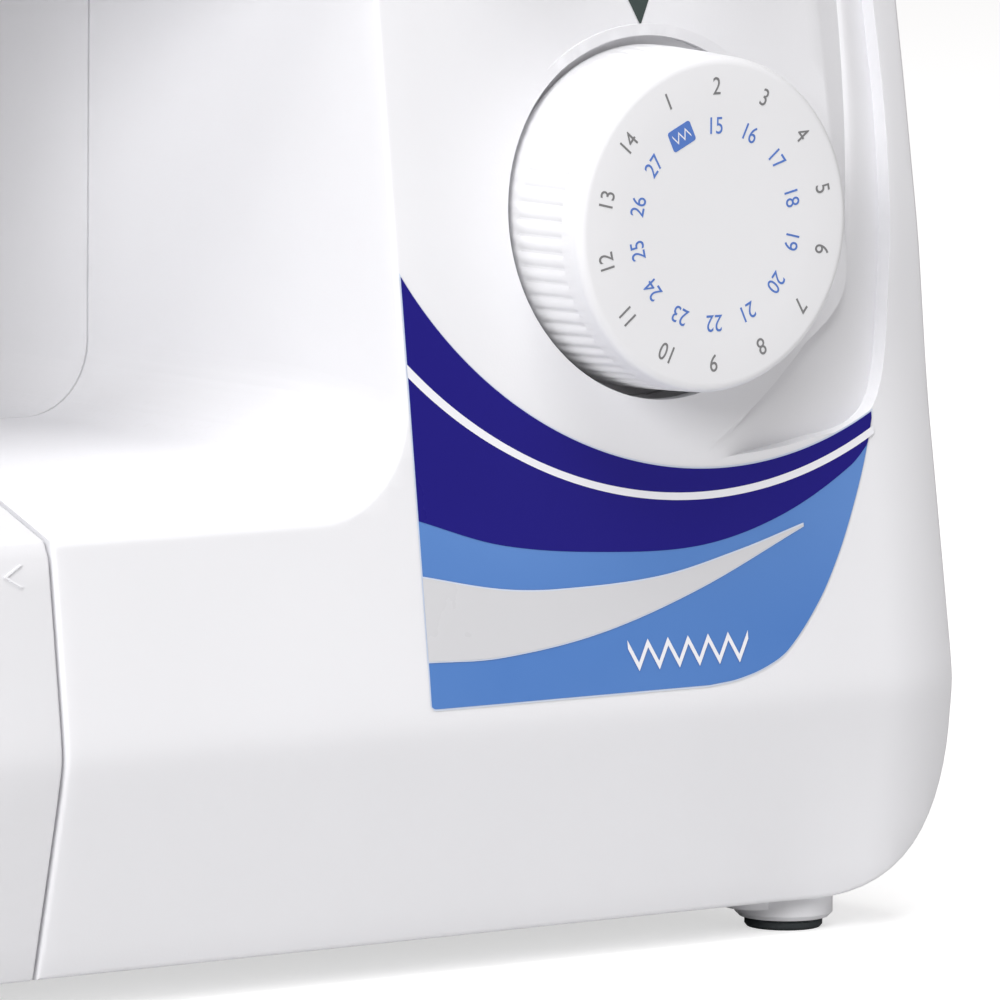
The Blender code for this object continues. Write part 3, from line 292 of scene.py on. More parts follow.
# %% Plastic, film and rubber
def new_finish(name):
    paint = bpy.data.materials.new(name)
    paint.use_nodes = True
    return paint, paint.node_tree, paint.node_tree.nodes["Principled BSDF"]


def shade(colour, share):
    return (*(v * share for v in colour), 1)


def moulded(name, colour, roughness, grain=0.12, mottle=0.97, rubbed=1.06, dusty=0.10, scale=2400.0,
    shine=0.5):
    """Moulded plastic or rubber: colour, roughness, and how deep its grain is."""
    paint, tree, shader = new_finish(name)
    skin = use_group(tree, MOULD_GRAIN, {"Scale": scale})
    use = use_group(tree, HANDLING_WEAR)
    body = add_node(tree, "Mix", {
        "Factor": skin.outputs["Mottle"], 6: shade(colour, mottle), 7: shade(colour, 1.0),
    }, data_type="RGBA")
    edged = add_node(tree, "Mix", {
        "Factor": use.outputs["Edge"], 6: body.outputs[2], 7: shade(colour, rubbed),
    }, data_type="RGBA")
    dust = spread(tree, use.outputs["Dust"], 0.0, 1.0, 0.0, dusty)
    dusted = add_node(tree, "Mix", {"Factor": dust, 6: edged.outputs[2], 7: (0.62, 0.6, 0.57, 1)},
        data_type="RGBA")
    rough = spread(tree, use.outputs["Smudge"], 0.0, 1.0, roughness - 0.04, roughness + 0.07)
    bump = add_node(tree, "Bump", {"Height": skin.outputs["Height"], "Strength": grain, "Distance": 0.00012})
    shader.inputs["Specular IOR Level"].default_value = shine
    tree.links.new(dusted.outputs[2], shader.inputs["Base Color"])
    tree.links.new(rough, shader.inputs["Roughness"])
    tree.links.new(bump.outputs["Normal"], shader.inputs["Normal"])
    return paint


COVER_WHITE = moulded("cover_white", (0.80, 0.80, 0.825), 0.38)
DIAL_WHITE = moulded("dial_white", (0.80, 0.80, 0.82), 0.32, grain=0.06)
CONTROL_GREY = moulded("control_grey", (0.42, 0.43, 0.45), 0.42, grain=0.2, mottle=0.94, rubbed=1.2)
WORKS_BLACK = moulded("works_black", (0.028, 0.028, 0.030), 0.45, grain=0.3, mottle=0.8, rubbed=1.8)
FOOT_RUBBER = moulded("foot_rubber", (0.038, 0.046, 0.050), 0.75, grain=0.6, mottle=0.7, rubbed=1.5,
    scale=1600.0)
FILM_SILVER = moulded("film_silver", (0.62, 0.62, 0.64), 0.30, shine=0.3, grain=0.05, mottle=0.985,
    rubbed=1.0, dusty=0.03)
FILM_EDGE = moulded("film_edge", (0.62, 0.68, 0.80), 0.30, shine=0.3, grain=0.05, mottle=0.985, rubbed=1.0,
    dusty=0.03)
FILM_WHITE = moulded("film_white", (0.82, 0.82, 0.86), 0.30, shine=0.3, grain=0.05, mottle=0.985, rubbed=1.0,
    dusty=0.03)
INK_NAVY = moulded("ink_navy", (0.0135, 0.0095, 0.195), 0.30, shine=0.2, grain=0.05, mottle=0.93, rubbed=1.0,
    dusty=0.02)
INK_GREY = moulded("ink_grey", (0.20, 0.20, 0.205), 0.45, grain=0.05, mottle=0.9, rubbed=1.0, dusty=0.0)
INK_BLUE = moulded("ink_blue", (0.085, 0.19, 0.55), 0.45, grain=0.05, mottle=0.9, rubbed=1.0, dusty=0.0)
INK_POINTER = moulded("ink_pointer", (0.048, 0.068, 0.064), 0.45, grain=0.05, mottle=0.85, rubbed=1.0,
    dusty=0.0)
print("finishes so far:", len(bpy.data.materials))

# %% Blue ink that deepens towards its foot
def make_blue_ink():
    paint, tree, shader = new_finish("ink_sky_blue")
    place = add_node(tree, "TexCoord").outputs["Object"]
    height = add_node(tree, "SeparateXYZ", {"Vector": place}).outputs["Z"]
    fade = spread(tree, height, 0.056, 0.076, 0.0, 1.0)
    skin = use_group(tree, MOULD_GRAIN, {"Scale": 3000.0})
    use = use_group(tree, HANDLING_WEAR)
    colour = add_node(tree, "Mix", {
        "Factor": fade, 6: (0.070, 0.185, 0.50, 1), 7: (0.118, 0.250, 0.57, 1),
    }, data_type="RGBA")
    mottled = add_node(tree, "Mix", {
        "Factor": skin.outputs["Mottle"], 6: colour.outputs[2], 7: (0.090, 0.215, 0.53, 1),
    }, data_type="RGBA")
    bump = add_node(tree, "Bump", {"Height": skin.outputs["Height"], "Strength": 0.05, "Distance": 0.0001})
    shader.inputs["Specular IOR Level"].default_value = 0.25
    tree.links.new(mottled.outputs[2], shader.inputs["Base Color"])
    tree.links.new(spread(tree, use.outputs["Smudge"], 0.0, 1.0, 0.27, 0.37), shader.inputs["Roughness"])
    tree.links.new(bump.outputs["Normal"], shader.inputs["Normal"])
    return paint


INK_SKY = make_blue_ink()
print("finish:", INK_SKY.name)

# %% Metals and clear plastic
def machined(name, colour, roughness, stretch, marks=0.25, rubbed=1.15, coarse=1.0):
    """Metal with tool marks pulled out along one direction."""
    paint, tree, shader = new_finish(name)
    tool = use_group(tree, TOOL_MARKS, {"Stretch": stretch})
    use = use_group(tree, HANDLING_WEAR)
    body = add_node(tree, "Mix", {
        "Factor": tool.outputs["Streak"], 6: shade(colour, 0.86), 7: shade(colour, 1.0),
    }, data_type="RGBA")
    edged = add_node(tree, "Mix", {
        "Factor": use.outputs["Edge"], 6: body.outputs[2], 7: shade(colour, rubbed),
    }, data_type="RGBA")
    bump = add_node(tree, "Bump", {"Height": tool.outputs["Height"], "Strength": marks,
        "Distance": 0.0001 * coarse})
    shader.inputs["Metallic"].default_value = 1.0
    tree.links.new(edged.outputs[2], shader.inputs["Base Color"])
    tree.links.new(spread(tree, use.outputs["Smudge"], 0.0, 1.0, roughness - 0.05, roughness + 0.1),
        shader.inputs["Roughness"])
    tree.links.new(bump.outputs["Normal"], shader.inputs["Normal"])
    return paint


def make_clear():
    paint, tree, shader = new_finish("clear_plastic")
    use = use_group(tree, HANDLING_WEAR)
    shader.inputs["Base Color"].default_value = (0.93, 0.96, 0.97, 1)
    shader.inputs["Transmission Weight"].default_value = 0.9
    shader.inputs["IOR"].default_value = 1.49
    tree.links.new(spread(tree, use.outputs["Smudge"], 0.0, 1.0, 0.05, 0.2), shader.inputs["Roughness"])
    return paint


STEEL_UPRIGHT = machined("steel_ground_upright", (0.62, 0.62, 0.63), 0.24, (2500.0, 2500.0, 120.0))
STEEL_ALONG = machined("steel_ground_along", (0.60, 0.60, 0.62), 0.26, (120.0, 2500.0, 2500.0))
STEEL_PLATE = machined("steel_plate_brushed", (0.64, 0.64, 0.65), 0.22, (2600.0, 90.0, 2600.0))
CAST_METAL = machined("cast_metal", (0.36, 0.37, 0.38), 0.52, (900.0, 900.0, 900.0), marks=0.7, coarse=3.0)
BRONZE = machined("bronze", (0.55, 0.36, 0.17), 0.36, (120.0, 2200.0, 2200.0))
CLEAR = make_clear()
print("finishes:", len(bpy.data.materials))

# %% [markdown]
# ## Making pieces
#
# A finished piece has its place in its mesh, with its object at the origin, as the CAD nodes have. Each
# piece rides on a CAD body, so it moves when that joint moves, and the CAD nodes it stands for are hidden.
# The helpers below make the few forms that most pieces start from: a turned form, a plate and a block.

# %% Piece helper
def make_piece(name, bm, finish, body, stands_for=(), sharp=32):
    """A bmesh made an object on a CAD body, smooth except at edges sharper than an angle."""
    mesh = bpy.data.meshes.new(name)
    bm.to_mesh(mesh)
    bm.free()
    for polygon in mesh.polygons:
        polygon.use_smooth = True
    mesh.set_sharp_from_angle(angle=math.radians(sharp))
    mesh.materials.append(finish)
    obj = bpy.data.objects.new(name, mesh)
    scene.collection.objects.link(obj)
    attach(obj, body)
    if stands_for:
        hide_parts(*stands_for)
    return obj


def face_outwards(bm):
    bmesh.ops.remove_doubles(bm, verts=bm.verts, dist=0.002 * MM)
    bmesh.ops.recalc_face_normals(bm, faces=bm.faces)


print("piece helper ready")

# %% Turned forms
ALONG = {
    "X": Matrix.Rotation(math.radians(90), 4, "Y"),
    "Y": Matrix.Rotation(math.radians(-90), 4, "X"),
    "Z": Matrix(),
}


def turned(profile, axis, at, steps=96, soften=0.0):
    """A bmesh turned on a lathe. The profile is (radius, height) pairs in mm, and so is its place."""
    bm = bmesh.new()
    verts = [bm.verts.new((radius * MM, 0, height * MM)) for radius, height in profile]
    for first, second in zip(verts, verts[1:]):
        bm.edges.new((first, second))
    if profile[0][0] > 0:
        bm.edges.new((verts[-1], verts[0]))
    if soften:
        rounded = [v for v, (radius, _) in zip(verts, profile) if radius > 0]
        bmesh.ops.bevel(
            bm, geom=rounded, affect="VERTICES", offset_type="OFFSET", offset=soften * MM, segments=3,
            profile=0.5, material=-1, clamp_overlap=True,
        )
    bmesh.ops.spin(
        bm, geom=[*bm.verts, *bm.edges], cent=(0, 0, 0), axis=(0, 0, 1), angle=math.tau, steps=steps,
        use_merge=True, use_duplicate=False,
    )
    face_outwards(bm)
    bmesh.ops.transform(bm, matrix=Matrix.Translation(Vector(at) * MM) @ ALONG[axis], verts=bm.verts)
    return bm


print("lathe ready")

# %% Plates and blocks
def outline_face(bm, corners, axis, level):
    """One face from (u, v, radius) corners in mm. Each corner with a radius is rounded by a vertex bevel."""
    place = {
        "X": lambda u, v: Vector((level, u, v)),
        "Y": lambda u, v: Vector((u, level, v)),
        "Z": lambda u, v: Vector((u, v, level)),
    }[axis]
    points = [place(u, v) * MM for u, v, _ in corners]
    bm.faces.new([bm.verts.new(point) for point in points])
    for i, (_, _, radius) in enumerate(corners):
        if radius:
            before, here, after = points[i - 1], points[i], points[(i + 1) % len(points)]
            half = (before - here).angle(after - here) / 2
            corner = min(bm.verts, key=lambda v: (v.co - here).length)
            bmesh.ops.bevel(
                bm, geom=[corner], affect="VERTICES", offset_type="OFFSET",
                offset=radius * MM / math.tan(half), segments=max(4, int(radius / 2)), profile=0.5,
                material=-1,
            )
    return list(bm.faces)


def plate(corners, axis, start, end, soften=0.0, segments=3):
    """An outline given thickness along an axis, with its rims rounded."""
    bm = bmesh.new()
    faces = outline_face(bm, corners, axis, start)
    made = bmesh.ops.extrude_face_region(bm, geom=faces)["geom"]
    shift = Vector([(end - start) * MM if axis == letter else 0 for letter in "XYZ"])
    bmesh.ops.translate(bm, vec=shift, verts=points_of(made))
    face_outwards(bm)
    if soften:
        sharp = [e for e in bm.edges if len(e.link_faces) == 2 and e.calc_face_angle(0) > math.radians(40)]
        bmesh.ops.bevel(
            bm, geom=sharp, affect="EDGES", offset_type="OFFSET", offset=soften * MM, segments=segments,
            profile=0.5, material=-1, clamp_overlap=True,
        )
    return bm


def block(low, high, soften=0.0, segments=3):
    """A box between two corners in mm, with its edges rounded."""
    corners = [(low[0], low[1], 0), (high[0], low[1], 0), (high[0], high[1], 0), (low[0], high[1], 0)]
    return plate(corners, "Z", low[2], high[2], soften, segments)


print("plates and blocks ready")

# %% Joining and cutting
def as_tool(bm):
    mesh = bpy.data.meshes.new("tool")
    bm.to_mesh(mesh)
    bm.free()
    tool = bpy.data.objects.new("tool", mesh)
    scene.collection.objects.link(tool)
    return tool


def carve(bm, operation, *tools):
    """The form in bm joined with, or cut by, every tool. The tools may not overlap each other."""
    gathered = bmesh.new()
    for tool in tools:
        part = bpy.data.meshes.new("part")
        tool.to_mesh(part)
        tool.free()
        gathered.from_mesh(part)
        bpy.data.meshes.remove(part)
    target, tool = as_tool(bm), as_tool(gathered)
    change = target.modifiers.new("carve", "BOOLEAN")
    change.operation = operation
    change.solver = "EXACT"
    change.object = tool
    graph = bpy.context.evaluated_depsgraph_get()
    result = bmesh.new()
    result.from_mesh(target.evaluated_get(graph).to_mesh())
    for used in (target, tool):
        bpy.data.objects.remove(used)
    return result


def hole(axis, at, radius, length, steps=48):
    return turned([(0, length), (radius, length), (radius, 0), (0, 0)], axis, at, steps)


def points_of(made):
    """The new points among what an extrusion made."""
    return [g for g in made if isinstance(g, bmesh.types.BMVert)]


def face_forwards(bm):
    """Turns a thin sheet so that it faces the front."""
    if sum(face.normal.y for face in bm.faces) > 0:
        bmesh.ops.reverse_faces(bm, faces=bm.faces)


print("carving ready")

# %% [markdown]
# ## The covers' surfaces
#
# The front panel leans back from a crease low on the base, the right corner rolls away, and the head is
# set back from the panel. The bed slopes up from its front edge and flattens. These are simple functions
# of place, the same ones that shaped the CAD, with the crease and the bed's shoulder made smooth.

# %% Sizes of the body
HALF_DEPTH, BODY_TOP, BASE_BOTTOM = 80.2, 280.0, 6.4
BED_EDGE_Y, BED_EDGE_Z, BED_TOP, CREASE_Z = -69.5, 80.9, 91.0, 44.5
LEAN, UNDERCUT = math.tan(math.radians(8)), 0.24
SEAM_Y, GAP, LAND, WALL = 20.5, 0.6, 3.0, 2.5
TOP_ROUND, TOP_STEP, TOP_STEP_RUN, ARM_REAR_Y = 10.0, 12.0, 11.0, 64.0
BED_SEAM_X, PILLAR_X, PILLAR_DRAFT, BED_FILLET, ARM_FILLET = -35.1, 39.2, 7.1, 20.0, 26.0
HEAD_LEFT, HEAD_RIGHT, HEAD_BOTTOM, ARM_BOTTOM = -163.5, -96.0, 160.0, 195.0
HEAD_SETBACK, SETBACK_LEFT = 35.0, -80.0
FRONT_DEPTH, REAR_DEPTH = SEAM_Y - BED_EDGE_Y, HALF_DEPTH - SEAM_Y


def ramp(value, start, end):
    return min(1.0, max(0.0, (value - start) / (end - start)))


def ease(value, start, end):
    share = ramp(value, start, end)
    return share * share * (3 - 2 * share)


def roll_off(distance, radius):
    """How far a rounded edge has fallen back, a distance past where it starts."""
    reach = min(max(distance, 0.0), 0.95 * radius)
    return radius - math.sqrt(radius * radius - reach * reach)


print("body is", 2 * HALF_DEPTH, "mm deep and", BODY_TOP, "mm tall")

# %% Front and rear surfaces
def side_x(z):
    """Right side of the body, which leans in near its top."""
    return 159.6 - 0.08 * max(0, z - 165)


def panel_right(z):
    """Where the flat panel ends and the right corner starts to turn."""
    return 140 + 8 * ease(z, 88, 128) - 0.05 * max(0, z - 150)


def front_skin(x, z):
    """Y of the front surface, with a soft crease low on the base."""
    past = z - CREASE_Z
    crease_y = BED_EDGE_Y + (CREASE_Z - BED_EDGE_Z) * LEAN
    undercut = UNDERCUT * (1 - 0.4 * ease(x, 120, 158))
    y = crease_y + (LEAN - undercut) / 2 * past + (LEAN + undercut) / 2 * math.sqrt(past * past + 6.0)
    width = side_x(z) - panel_right(z)
    turning = ramp(x, panel_right(z), side_x(z)) ** (2.0 - 0.75 * ease(z, 84, 120))
    y += 0.275 * width * turning
    y += roll_off(z - (BODY_TOP - TOP_ROUND), TOP_ROUND)
    return y + HEAD_SETBACK * ease(-x, -PILLAR_X, -SETBACK_LEFT) * ease(z, 130, 158)


def rear_skin(x, z):
    """Y of the rear surface, which leans in from the base to the arm."""
    y = HALF_DEPTH - (HALF_DEPTH - ARM_REAR_Y) * ease(z, BED_TOP - 8, ARM_BOTTOM + 8)
    y -= roll_off(z - (BODY_TOP - TOP_ROUND), TOP_ROUND)
    return y - roll_off(x - (side_x(z) - 20), 20)


def shoulder(depth):
    """Rise of the bed behind its front edge: a slope that flattens out."""
    depth = max(0.0, depth)
    return 0.36 * depth if depth < 21 else 10.1 - 0.01286 * (35 - min(depth, 35)) ** 2


def bed_rise(z, depth):
    near = ramp(z, CREASE_Z, BED_EDGE_Z) * (1 - ramp(z, BED_EDGE_Z, BED_EDGE_Z + 29))
    return near * shoulder(depth)


def throat_draft(x, z, depth):
    """The throat wall's move to the left, a depth behind the panel."""
    if x > PILLAR_X + 1 or z > ARM_BOTTOM - 1:
        return 0.0
    return -PILLAR_DRAFT * ramp(depth, 0, FRONT_DEPTH - LAND) * ramp(x, PILLAR_X - BED_FILLET, PILLAR_X)


def place_front(x, depth, z):
    skin = front_skin(x, z)
    y = skin + depth / FRONT_DEPTH * (SEAM_Y - GAP / 2 - skin)
    return Vector((x + throat_draft(x, z, depth), y, z + bed_rise(z, depth)))


def place_rear(x, depth, z):
    skin = rear_skin(x, z)
    y = skin + depth / REAR_DEPTH * (SEAM_Y + GAP / 2 - skin)
    lowered = TOP_STEP * ease(REAR_DEPTH - depth, LAND, TOP_STEP_RUN) * ramp(z, BODY_TOP - 30, BODY_TOP)
    return Vector((x + throat_draft(x, z, FRONT_DEPTH), y, z + bed_rise(z, 35) - lowered))


print("panel at z 130 stands at y", round(front_skin(90, 130), 2))

# %% [markdown]
# ## Front and rear covers
#
# Both covers are one C-shaped outline: base, pillar, arm and head. It starts as one flat face, whose
# corners are rounded by vertex bevels. The face is pulled back into walls, its rim is rounded, and planes
# slice it finely enough to follow the curves. Then every point moves onto the real surface, and Solidify
# gives the wall.

# %% Cover shell
def slices():
    """Where planes cut the covers: closer together where the surface turns."""
    across = [-157 + 7 * i for i in range(18)] + [-32 + 3.5 * i for i in range(21)] + [47 + 8 * i
        for i in range(10)]
    across += [123 + 3 * i for i in range(5)] + [137.5 + 1.4 * i for i in range(16)]
    upward = [12, 20, 28, 34] + [37 + 1.5 * i for i in range(11)] + [58, 64,
        70] + [75 + 2.2 * i for i in range(17)]
    upward += [116 + 5 * i for i in range(31)] + [270 + 1.4 * i for i in range(7)]
    return across, upward


def cover_outline():
    return [
        (BED_SEAM_X, BASE_BOTTOM, 0), (side_x(BASE_BOTTOM), BASE_BOTTOM, 28),
        (side_x(BODY_TOP), BODY_TOP, 15),
        (HEAD_LEFT, BODY_TOP, 0), (HEAD_LEFT, HEAD_BOTTOM, 0), (HEAD_RIGHT, HEAD_BOTTOM, 6),
        (HEAD_RIGHT + 6, ARM_BOTTOM, 14), (PILLAR_X, ARM_BOTTOM, ARM_FILLET),
        (PILLAR_X, BED_EDGE_Z, BED_FILLET),
        (BED_SEAM_X, BED_EDGE_Z, 0),
    ]


def cut_across(bm, axis, places):
    for place in places:
        point = Vector([place * MM if axis == letter else 0 for letter in "XYZ"])
        normal = Vector([1.0 if axis == letter else 0 for letter in "XYZ"])
        bmesh.ops.bisect_plane(
            bm, geom=[*bm.verts, *bm.edges, *bm.faces], plane_co=point, plane_no=normal, dist=0.01 * MM
        )


def cover_shell(place, full_depth, loops, rim):
    """The outline as a face with walls behind it, on the real surface, open where other pieces join."""
    bm = bmesh.new()
    faces = outline_face(bm, cover_outline(), "Y", 0)
    made = bmesh.ops.extrude_edge_only(bm, edges=bm.edges[:])["geom"]
    back = points_of(made)
    bmesh.ops.translate(bm, vec=(0, full_depth * MM, 0), verts=back)
    front_edges = [e for e in bm.edges if len(e.link_faces) == 2 and all(abs(v.co.y) < 1e-6 for v in e.verts)]
    bmesh.ops.bevel(
        bm, geom=front_edges, affect="EDGES", offset_type="OFFSET", offset=rim * MM, segments=4, profile=0.5,
        material=-1,
    )
    across, upward = slices()
    cut_across(bm, "X", across)
    cut_across(bm, "Z", upward)
    cut_across(bm, "Y", loops)
    unwanted = []
    for face in bm.faces:
        middle = face.calc_center_median() / MM
        under_base = middle.z < BASE_BOTTOM + 0.1
        under_head = middle.x < HEAD_RIGHT - 6 and abs(middle.z - HEAD_BOTTOM) < 0.1
        left_of_head = abs(middle.x - HEAD_LEFT) < 0.1 and middle.z > HEAD_BOTTOM
        if middle.y > rim and (under_base or under_head or left_of_head):
            unwanted.append(face)
    bmesh.ops.delete(bm, geom=unwanted, context="FACES")
    for vert in bm.verts:
        vert.co = place(*(vert.co / MM)) * MM
    bmesh.ops.remove_doubles(bm, verts=bm.verts, dist=0.005 * MM)
    bmesh.ops.recalc_face_normals(bm, faces=bm.faces)
    return bm


def with_wall(bm, outward, at):
    """The open skin given its wall, inwards. outward is how the face nearest to a place should point."""
    nearest = min(bm.faces, key=lambda f: (f.calc_center_median() - Vector(at) * MM).length)
    if nearest.normal.dot(Vector(outward)) < 0:
        bmesh.ops.reverse_faces(bm, faces=bm.faces)
    skin = as_tool(bm)
    wall = skin.modifiers.new("wall", "SOLIDIFY")
    wall.thickness = WALL * MM
    wall.offset = -1
    wall.use_even_offset = True
    graph = bpy.context.evaluated_depsgraph_get()
    result = bmesh.new()
    result.from_mesh(skin.evaluated_get(graph).to_mesh())
    bpy.data.objects.remove(skin)
    return result


print("slices:", [len(s) for s in slices()])

# %% [markdown]
# The front cover carries the dial's well. A cup is joined behind the panel and bored out, and the shafts'
# holes are cut. A long scoop beside the dial is cut with a tool like a folded ribbon, and the same ribbon
# backs the wall there.

# %% Scoop beside the dial
FACET_DEPTH, EDGE_DEPTH = 1.9, 3.4


def along_line(points, share):
    """A point a share of the way along a line of points, eased between them."""
    spans = len(points) - 1
    i = min(int(share * spans), spans - 1)
    t = share * spans - i
    p0, p1, p2, p3 = (Vector(points[max(0, min(spans, k))]) for k in (i - 1, i, i + 1, i + 2))
    return 0.5 * (2 * p1 + (p2 - p0) * t + (2 * p0 - 5 * p1 + 4 * p2 - p3) * t * t
        + (3 * p1 - p0 - 3 * p2 + p3) * t ** 3)


SCOOP_INNER = [(136, 252), (133.6, 225), (132.8, 195), (134.3, 165.8), (135.6, 140), (136.5, 116),
    (125.2, 104.8), (115.6, 96.6), (101.5, 87.4)]
SCOOP_RIDGE = [(137.5, 252), (138.6, 225), (139.8, 195), (140.6, 165.6), (140.2, 142), (137.8, 123.5),
    (131.0, 109.5), (121, 99.6), (105, 88.0)]
SCOOP_OUTER = [(139, 252), (142.2, 225), (145.2, 195), (147.4, 165.4), (148.2, 140), (146.4, 117),
    (140.6, 94.2), (123.8, 88.9), (107, 87.1)]


def scoop_solid(behind, ahead, spare=0.0):
    """A solid between the scoop's surface, moved in by behind, and a front that is ahead of the panel.
    Across the surface goes inner facet, ridge, outer facet. It is wider than the scoop by spare on each
    side."""
    bm = bmesh.new()
    bmesh.ops.create_grid(bm, x_segments=72, y_segments=14, size=0.5)
    for vert in bm.verts:
        share, side = vert.co.x + 0.5, vert.co.y + 0.5
        inner, ridge, outer = (along_line(line, share) for line in (SCOOP_INNER, SCOOP_RIDGE, SCOOP_OUTER))
        shelf = ridge.lerp(outer, 0.14)
        if side < 0.429:
            t = side / 0.429
            x, z = inner.lerp(ridge, t)
            depth = FACET_DEPTH * t
        elif side < 0.571:
            t = (side - 0.429) / 0.142
            x, z = ridge.lerp(shelf, t)
            depth = FACET_DEPTH - 0.35 * math.sin(math.pi / 2 * t)
        else:
            t = (side - 0.571) / 0.429
            x, z = shelf.lerp(outer, t)
            depth = FACET_DEPTH - 0.35 + (EDGE_DEPTH - FACET_DEPTH + 0.35) * t ** 1.25
        x += spare * (2 * side - 1)
        fade = ease(share, -0.12, 0.06) * ease(1 - share, 0.0, 0.10)
        vert.co = Vector((x, front_skin(x, z) + depth * fade + behind, z)) * MM
    made = bmesh.ops.extrude_face_region(bm, geom=bm.faces[:])["geom"]
    for vert in (g for g in made if isinstance(g, bmesh.types.BMVert)):
        vert.co.y = (front_skin(vert.co.x / MM, vert.co.z / MM) - ahead) * MM
    face_outwards(bm)
    return bm


print("scoop runs from z", SCOOP_INNER[-1][1], "to", SCOOP_INNER[0][1])

# %% Front cover
DIAL_X, DIAL_Z, WELL_R, WELL_FLOOR = 95.4, 129.35, 31.6, -57.0


def make_front_cover():
    shell = cover_shell(place_front, FRONT_DEPTH, [5, 9, 13, 17, 21, 25, 29, 34, 42, 52, 62, 72, 80,
        FRONT_DEPTH - LAND], 1.0)
    bm = with_wall(shell, (0, -1, 0), (90, -60, 200))
    cup = turned([(0, WELL_FLOOR + 61), (WELL_R + 2, WELL_FLOOR + 61), (WELL_R + 2, 0), (0, 0)], "Y",
        (DIAL_X, -59, DIAL_Z), 128)
    bm = carve(bm, "UNION", cup, scoop_solid(WALL + 0.2, -1.0, 2.0))
    well = turned([(0, WELL_FLOOR + 95), (WELL_R, WELL_FLOOR + 95), (WELL_R, 0), (0, 0)], "Y",
        (DIAL_X, -95, DIAL_Z), 160)
    bm = carve(bm, "DIFFERENCE", well)
    return carve(
        bm, "DIFFERENCE",
        hole("Y", (DIAL_X, -58, DIAL_Z), 5.4, 20),
        hole("Y", (118, -70, 205), 4.4, 30),
        hole("Y", (72, -70, 205), 4.4, 30),
        hole("Y", (-70, -30, 240), 4.4, 30),
        hole("Z", (30, 4, 262), 3.2, 30),
        hole("Z", (106, 4, 262), 3.4, 30),
        block((-110, -40, 205), (-102, 5, 268)),
        block((9, -70, 206), (21, -30, 234)),
        hole("X", (140, SEAM_Y, 232), 6, 40),
        block((-40, -14.2, 42.5), (-30, 49.2, 88.4)),
        block((-40, -4.4, 0), (-30, 49.4, 12)),
        scoop_solid(-0.02, 9.0),
    )


front = make_piece("front_cover_moulded", make_front_cover(), COVER_WHITE, "machine", ["front_cover"],
    28)
print("front cover faces:", len(front.data.polygons))

# %% Rear cover
def make_rear_cover():
    loops = [2, 4, 7, 11, 16, 24, 34, 42, REAR_DEPTH - TOP_STEP_RUN] + [REAR_DEPTH - LAND - i
        for i in (6.4, 4.8, 3.2, 1.6, 0)]
    shell = cover_shell(place_rear, REAR_DEPTH, loops, 1.8)
    bm = with_wall(shell, (0, 1, 0), (90, 70, 130))
    lugs = [block((low, 34, 264), (high, 42, 278), 1.0) for low, high in ((-79, -72.6), (72.6, 79))]
    bm = carve(bm, "UNION", *lugs)
    return carve(
        bm, "DIFFERENCE",
        hole("X", (140, SEAM_Y, 232), 6, 40),
        block((-40, -14.2, 42.5), (-30, 49.2, 88.4)),
        block((-40, -4.4, 0), (-30, 49.4, 12)),
        block((145, 29.7, 39.7), (175, 54.3, 60.3)),
        block((145, 33, 74), (175, 51, 98)),
        block((-140, 60, 150), (-128, 85, 196)),
        *[block((60 + 9 * i, 40, 55), (64 + 9 * i, 90, 85), 1.9) for i in range(7)],
    )


rear = make_piece("rear_cover_moulded", make_rear_cover(), COVER_WHITE, "machine", ["rear_cover"],
    28)
print("rear cover faces:", len(rear.data.polygons))

# %% [markdown]
# ## Label, pointer and stitch sign
#
# The label is printed film laid on the leaning panel. Its bands are grids, shaped between an upper and a
# lower line and laid a few hundredths of a millimetre proud of the one beneath. A grid follows the panel
# and keeps edges crisp. Where the real label names its model, this one shows a plain zig-zag stitch.

# %% Label lines
def through(points):
    """A smooth line through (x, z) points, as a function of x."""
    def line(x):
        for (x1, z1), (x2, z2) in zip(points, points[1:]):
            if x <= x2 or (x2, z2) == points[-1]:
                i = points.index((x1, z1))
                before = points[max(0, i - 1)]
                after = points[min(len(points) - 1, i + 2)]
                span = x2 - x1
                slope1 = (z2 - before[1]) / (x2 - before[0])
                slope2 = (after[1] - z1) / (after[0] - x1)
                t = (x - x1) / span
                return (
                    (2 * t ** 3 - 3 * t * t + 1) * z1 + (t ** 3 - 2 * t * t + t) * span * slope1
                    + (3 * t * t - 2 * t ** 3) * z2 + (t ** 3 - t * t) * span * slope2
                )
    return line


def arc(centre_x, centre_z, radius):
    return lambda x: centre_z - math.sqrt(radius * radius - (x - centre_x) ** 2)


label_top = arc(105.7, 163.2, 77.6)
stripe_top = arc(101, 168, 86.55)
stripe_line = arc(101, 168, 87.85)
navy_foot = through([(36, 81.3), (39.4, 80.2), (56.9, 74.9), (78.2, 72.4), (100, 72.2), (118.1, 76.3),
    (134.5, 84.1), (141, 90)])
swoosh_top = through([(36, 71.2), (39.7, 70.4), (56.2, 67.2), (69, 66.4), (90.8, 67.3), (108.7, 70.8),
    (123, 74.5)])
swoosh_foot = through([(36, 56.2), (39.9, 56.1), (55.2, 55.9), (76.9, 58.7), (99.3, 65), (123, 74.3)])
label_corner = through([(100, 47.6), (106.5, 48.3), (113, 50.1), (118.1, 52.9), (125.6, 61), (130.9, 69.4),
    (135, 77.9), (138, 85.4), (140.6, 93.9)])


def label_foot(x):
    if x < 41:
        return 48.9 - math.sqrt(1.3 ** 2 - min(1.25, 41 - x) ** 2)
    return 47.6 if x < 100 else label_corner(x)


def stripe_foot(x):
    return stripe_line(x) - 0.4 * ramp(-x, -62, -40)


print("label is", round(140.3 - 39.7, 1), "mm long")

